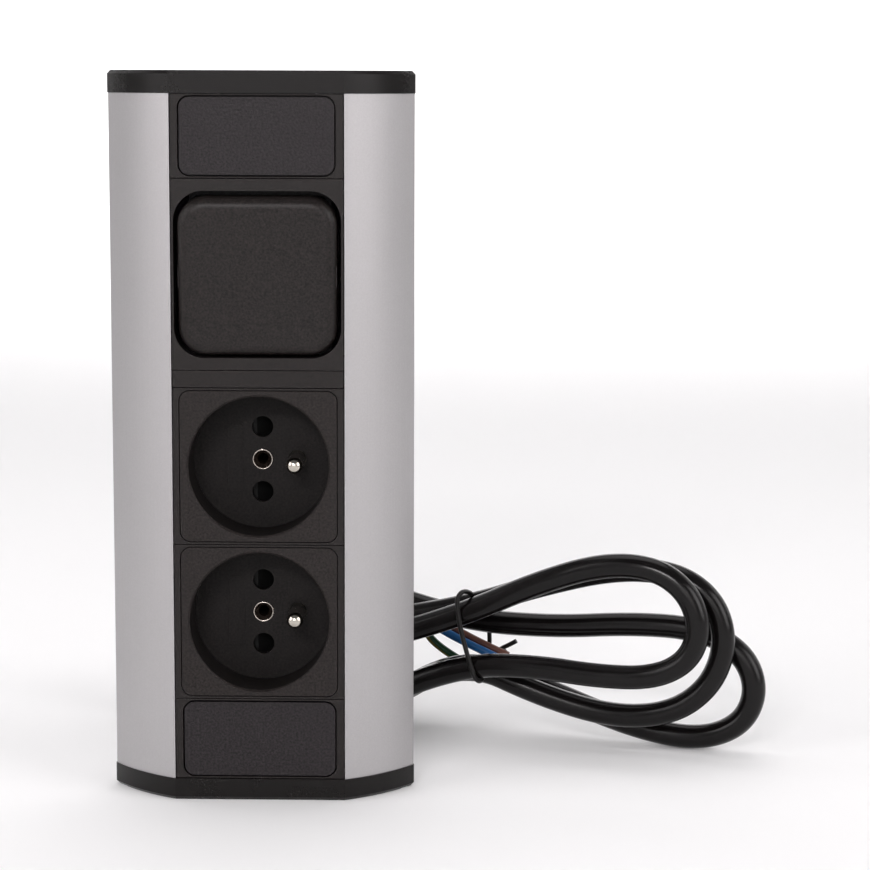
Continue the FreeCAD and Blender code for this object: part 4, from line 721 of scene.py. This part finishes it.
class SOCKET_OT_camera(Operator):
    """Stand the camera where the photograph was taken from"""

    bl_idname = "socket_column.camera"
    bl_label = "Camera"

    def execute(self, context):
        data = bpy.data.cameras.new("photo_camera")
        data.lens = sizes().lens
        data.sensor_width = 36
        data.clip_start, data.clip_end = 0.01, 50
        camera = link(bpy.data.objects.new("photo_camera", data))
        pitch, yaw, roll = CAMERA_TURNS
        ahead = Vector((math.sin(yaw) * math.cos(pitch), math.cos(yaw) * math.cos(pitch),
                        -math.sin(pitch)))
        level = Vector((math.cos(yaw), -math.sin(yaw), 0))
        down = ahead.cross(level)
        right = level * math.cos(roll) + down * math.sin(roll)
        down = down * math.cos(roll) - level * math.sin(roll)
        place = Matrix((right, -down, -ahead)).transposed().to_4x4()
        place.translation = CAMERA_PLACE
        camera.matrix_world = place
        context.scene.camera = camera
        # The plain transform keeps black plastic black and the pale floor pale.
        context.scene.view_settings.view_transform = "Standard"
        return {"FINISHED"}


class SOCKET_OT_lead(Operator):
    """Lay the mains lead in its hank"""

    bl_idname = "socket_column.lead"
    bl_label = "Mains lead"

    def execute(self, context):
        points = lead_points()
        lead = nurbs_curve("mains_lead", points, resolution=12)
        lead.data.bevel_depth = sizes().lead_diameter / 2
        lead.data.bevel_resolution = 8
        lead.data.use_fill_caps = True
        lead.data.materials.append(extruded_pvc("pvc_sheath_extruded", colours().lead, 0.19))
        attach(lead, "column")
        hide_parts("cord_hank")
        return {"FINISHED"}


class SOCKET_OT_tie(Operator):
    """Put the covered wire tie round the hank's waist"""

    bl_idname = "socket_column.tie"
    bl_label = "Bag tie"

    def execute(self, context):
        radius = sizes().tie_diameter / 2
        covered = extruded_pvc("pvc_covered_wire", linear("#141313"), 0.38)
        loop = nurbs_curve("tie_loop", [at(*point) for point in TIE_LOOP], closed=True)
        loop.data.bevel_depth = radius
        loop.data.bevel_resolution = 4
        loop.data.materials.append(covered)
        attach(loop, "column")
        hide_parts("cord_tie")

        # The two ends are wound round each other and then spring apart.
        for name, phase, tail in (("tie_tail", 0.0, TIE_TAIL), ("tie_stub", math.pi, TIE_STUB)):
            wound = smooth_line([at(*point) for point in TIE_TWIST])
            last = len(wound) - 1
            points = []
            for number, (point, side, up) in enumerate(line_frames(wound)):
                angle = phase + TIE_TWIST_TURNS * math.tau * number / last
                points.append(point + (side * math.cos(angle) + up * math.sin(angle)) * radius)
            line = smooth_line(points[::2] + [at(*point) for point in tail], resolution=4)
            end = tube_mesh(name, line, radius, around=12)
            end.data.materials.append(covered)
            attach(end, "column")
        return {"FINISHED"}


class SOCKET_OT_cores(Operator):
    """Bring the three cores out of the lead's cut end"""

    bl_idname = "socket_column.cores"
    bl_label = "Cut cores"

    def execute(self, context):
        radius = sizes().core_diameter / 2
        end, way = lead_end()
        face = end + way * sizes().lead_diameter
        upward = (Vector((0, 0, 1)) - way * way.z).normalized()
        sideways = way.cross(upward)
        insulation = {
            "core_brown": [extruded_pvc("pvc_insulation_brown", colours().brown, 0.35)],
            "core_blue": [extruded_pvc("pvc_insulation_blue", colours().blue, 0.35)],
            # The earth core's green and yellow carry painted shade.
            "core_earth": [extruded_pvc("pvc_insulation_green", colours().green, 0.35),
                           extruded_pvc("pvc_insulation_yellow", colours().yellow, 0.35)],
        }
        copper = worked_metal("copper_stranded_cut", linear("#E8A27C"), roughness=0.35,
                              mark_mm=0.4, mark_depth_mm=0.03)
        for name, degrees, corner, tip in CORE_ROUTES:
            angle = math.radians(degrees)
            offset = (upward * math.sin(angle) + sideways * math.cos(angle)) * CORE_CIRCLE * MM
            root = face + offset
            line = smooth_line([root - way * CORE_SUNK * MM, root + way * CORE_STRAIGHT * MM,
                                at(*corner), at(*tip)], resolution=12)
            core = tube_mesh(name + "_insulation", line, radius, CORE_STEPS, STRIPE_TURNS)
            for material in insulation[name]:
                core.data.materials.append(material)
            if name == "core_earth":
                for number, polygon in enumerate(core.data.polygons):
                    polygon.material_index = 1 if number % CORE_STEPS in STRIPE_STEPS else 0
            tail = (line[-1] - line[-2]).normalized()
            bare = [line[-1] - tail * STRANDS_SUNK * MM, line[-1] + tail * STRANDS_PROUD * MM]
            strands = tube_mesh(name + "_strands", bare, STRANDS_SHARE * radius, around=12)
            strands.data.materials.append(copper)
            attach(core, "column")
            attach(strands, "column")
            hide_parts(name)
        return {"FINISHED"}


class SOCKET_OT_declare_lead(Operator):
    bl_idname = "socket_column.declare_lead"
    bl_label = "Declare the lead"

    def execute(self, context):
        going_with = ["strain_relief", "tie_loop", "tie_tail", "tie_stub"]
        for name, *_ in CORE_ROUTES:
            going_with += [name + "_insulation", name + "_strands"]
        return {"FINISHED"}


class SOCKET_OT_column(Operator):
    """Finish the aluminium column and its two end caps"""

    bl_idname = "socket_column.column"
    bl_label = "Column and caps"

    def execute(self, context):
        finish_nodes(anodised_aluminium_extruded(colours().aluminium), "body_profile")
        finish_nodes(
            moulded_plastic("abs_moulded_caps", colours().caps, roughness=0.27, grain_mm=0.6,
                            grain_depth_mm=0.006, spread=0.03, grain_gloss=0.06),
            "bottom_end_cap", "top_end_cap")
        finish_nodes(
            worked_metal("steel_zinc_plated", linear("#C9CCD0"), roughness=0.3, mark_mm=0.6,
                         mark_depth_mm=0.02),
            "bottom_cap_screws", "top_cap_screws", "lower_terminal_screws",
            "upper_terminal_screws")
        return {"FINISHED"}


class SOCKET_OT_modules(Operator):
    """Finish the module frames, blank covers and the rocker"""

    bl_idname = "socket_column.modules"
    bl_label = "Frames, covers and rocker"

    def execute(self, context):
        frames = ("lower_blank_frame", "upper_blank_frame", "lower_socket_frame",
                  "upper_socket_frame", "switch_frame", "spacer_strip")
        covers = ("lower_blank_cover", "upper_blank_cover")
        finish_nodes(
            moulded_plastic("polycarbonate_moulded_frames", colours().frames, roughness=0.45,
                            grain_mm=0.6, grain_depth_mm=0.05),
            *frames)
        finish_nodes(
            moulded_plastic("polycarbonate_grained_covers", colours().covers, roughness=0.46,
                            grain_mm=0.65, grain_depth_mm=0.16, grain_gloss=0.4, grain_tone=0.38),
            *covers)
        soften_edges(COVER_EDGE, *covers)
        soften_edges(FRAME_EDGE, *frames)
        finish_nodes(
            moulded_plastic("polycarbonate_satin_rocker", colours().rocker, roughness=0.42,
                            grain_mm=0.65, grain_depth_mm=0.07, grain_tone=0.35),
            "switch_rocker")
        return {"FINISHED"}


class SOCKET_OT_sockets(Operator):
    """Finish the socket covers, pins, eyelets and shutters"""

    bl_idname = "socket_column.sockets"
    bl_label = "Sockets"

    def execute(self, context):
        covers = ("lower_socket_cover", "upper_socket_cover")
        # Painted shade: the recess's colour is halved. The recess is also rougher.
        finish_nodes(
            moulded_plastic("polycarbonate_smooth_sockets", colours().sockets, roughness=0.5,
                            grain_mm=0.65, grain_depth_mm=0.07, ior=1.27, grain_tone=0.35,
                            recess_shade_share=0.5, sunk_roughness=0.62),
            *covers)
        soften_edges(FRAME_EDGE, *covers)
        finish_nodes(
            moulded_plastic("polyamide_smooth_shutters", linear("#0C0C0C"), roughness=0.5,
                            grain_mm=0.6, grain_depth_mm=0.01, ior=1.25),
            "lower_shutter", "upper_shutter")
        finish_nodes(nickel_plated_pin(), "lower_earth_pin", "upper_earth_pin")
        nickel = worked_metal("brass_nickel_plated", linear("#C8C0B8"), roughness=0.22,
                              mark_mm=0.5, mark_depth_mm=0.004)
        stained = worked_metal("brass_stained_bore", linear("#2A221C"), roughness=0.6,
                               mark_mm=0.5, mark_depth_mm=0.03)
        # The funnel is a darker nickel than the rim.
        worn = worked_metal("brass_nickel_darker_funnel", linear("#5A504A"), roughness=0.45,
                            mark_mm=0.5, mark_depth_mm=0.006)
        for node, height in (("lower_eyelet", LOWER_SOCKET_Z), ("upper_eyelet", UPPER_SOCKET_Z)):
            centre = at(0, 0, height)
            rivet = lathed(node + "_rivet", centre, EYELET_PROFILE, around=40)
            for metal in (stained, worn, nickel):
                rivet.data.materials.append(metal)
            for polygon in rivet.data.polygons:
                middle = polygon.center - centre
                radius = math.hypot(middle.x, middle.z)
                polygon.material_index = (radius > EYELET_BORE * MM) + (radius > EYELET_FUNNEL * MM)
            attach(rivet, "column")
            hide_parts(node)
        return {"FINISHED"}


class SOCKET_OT_inside(Operator):
    """Finish what lies behind the covers, and the boot"""

    bl_idname = "socket_column.inside"
    bl_label = "Inner pieces and boot"

    def execute(self, context):
        finish_nodes(
            moulded_plastic("polyamide_glass_filled", linear("#3A3A3A"), roughness=0.55,
                            grain_mm=0.7, grain_depth_mm=0.03),
            "lower_socket_base", "upper_socket_base", "switch_housing", "switch_plunger")
        finish_nodes(
            moulded_plastic("pvc_moulded_boot", linear("#1B1B1B"), roughness=0.5, grain_mm=0.6,
                            grain_depth_mm=0.02),
            "strain_relief")
        finish_nodes(
            worked_metal("brass_stamped", linear("#E3C27A"), roughness=0.3, mark_mm=1.2,
                         mark_depth_mm=0.02),
            "lower_live_contact", "upper_live_contact", "lower_neutral_contact",
            "upper_neutral_contact", "lower_earth_contact", "upper_earth_contact",
            "switch_contact_lever", "switch_pivot_terminal", "switch_fixed_contact")
        steel = worked_metal("spring_steel_drawn", linear("#BDBEC0"), roughness=0.25,
                             mark_mm=0.5, mark_depth_mm=0.01)
        finish_nodes(steel, "switch_spring")
        shutter_spring("lower_shutter_spring", steel)
        shutter_spring("upper_shutter_spring", steel)
        for colour_name, nodes in (
                ("brown", ("wire_live_feed", "wire_live_switched", "wire_live_link")),
                ("blue", ("wire_neutral_feed", "wire_neutral_link")),
                ("green", ("wire_earth_feed", "wire_earth_link"))):
            finish_nodes(bpy.data.materials["pvc_insulation_" + colour_name], *nodes)
        return {"FINISHED"}


class SOCKET_OT_stage(Operator):
    """Build the pale floor with its backdrop and hang the soft lights"""

    bl_idname = "socket_column.stage"
    bl_label = "Stage and lights"

    def execute(self, context):
        flat = sizes().floor_radius
        profile = [(flat * 0.5, 0.0), (flat, 0.0)]
        for step in range(1, SWEEP_STEPS + 1):
            angle = math.pi / 2 * step / SWEEP_STEPS
            profile.append((flat + SWEEP_RADIUS * math.sin(angle),
                            SWEEP_RADIUS * (1 - math.cos(angle))))
        profile.append((flat + SWEEP_RADIUS, WALL_TOP))
        vertices = [(0.0, 0.0, 0.0)]
        for radius, height in profile:
            for step in range(STAGE_STEPS):
                angle = math.tau * step / STAGE_STEPS
                vertices.append((radius * math.cos(angle), radius * math.sin(angle), height))
        faces = [(0, 1 + step, 1 + (step + 1) % STAGE_STEPS) for step in range(STAGE_STEPS)]
        for ring in range(len(profile) - 1):
            for step in range(STAGE_STEPS):
                first = 1 + ring * STAGE_STEPS + step
                second = 1 + ring * STAGE_STEPS + (step + 1) % STAGE_STEPS
                faces.append((first, first + STAGE_STEPS, second + STAGE_STEPS, second))
        mesh = bpy.data.meshes.new("stage_floor")
        mesh.from_pydata(vertices, [], faces)
        mesh.polygons.foreach_set("use_smooth", [True] * len(mesh.polygons))
        floor = link(bpy.data.objects.new("stage_floor", mesh))
        mesh.materials.append(painted_board("emulsion_painted_board", colours().floor))

        for name, place, target, width, height, watts, spread in PANELS:
            data = bpy.data.lights.new(name, "AREA")
            data.shape = "RECTANGLE"
            data.size, data.size_y, data.energy = width, height, watts
            data.spread = math.radians(spread)
            data.color = WARM_WHITE
            panel = link(bpy.data.objects.new(name, data))
            panel.location = place
            aim = Vector(target) - Vector(place)
            panel.rotation_euler = aim.to_track_quat("-Z", "Y").to_euler()
            panel.visible_camera = False
        world = bpy.data.worlds.new("soft_room")
        world.use_nodes = True
        room = world.node_tree.nodes["Background"]
        room.inputs["Color"].default_value = rgba(linear("#F4F6F8"))
        room.inputs["Strength"].default_value = ROOM_STRENGTH
        context.scene.world = world
        return {"FINISHED"}


class SOCKET_PT_column(Panel):
    """Buttons for the pieces, in the order in which they are made"""

    bl_idname = "SOCKET_PT_column"
    bl_label = "Socket Column"
    bl_space_type = "VIEW_3D"
    bl_region_type = "UI"
    bl_category = "Socket Column"

    def draw(self, context):
        for operator in OPERATORS:
            self.layout.operator(operator.bl_idname)


OPERATORS = (
    SOCKET_OT_camera, SOCKET_OT_lead, SOCKET_OT_tie, SOCKET_OT_cores, SOCKET_OT_declare_lead,
    SOCKET_OT_column, SOCKET_OT_modules, SOCKET_OT_sockets, SOCKET_OT_inside, SOCKET_OT_stage,
)
CLASSES = (SocketColumnSizes, SocketColumnColours, *OPERATORS, SOCKET_PT_column)


def register():
    for new_class in CLASSES:
        bpy.utils.register_class(new_class)
    bpy.types.Scene.socket_column_sizes = PointerProperty(type=SocketColumnSizes)
    bpy.types.Scene.socket_column_colours = PointerProperty(type=SocketColumnColours)


def unregister():
    del bpy.types.Scene.socket_column_colours
    del bpy.types.Scene.socket_column_sizes
    for new_class in reversed(CLASSES):
        bpy.utils.unregister_class(new_class)


def main():
    register()
    for operator in OPERATORS:
        group, name = operator.bl_idname.split(".")
        getattr(getattr(bpy.ops, group), name)()


if __name__ == "__main__":
    main()
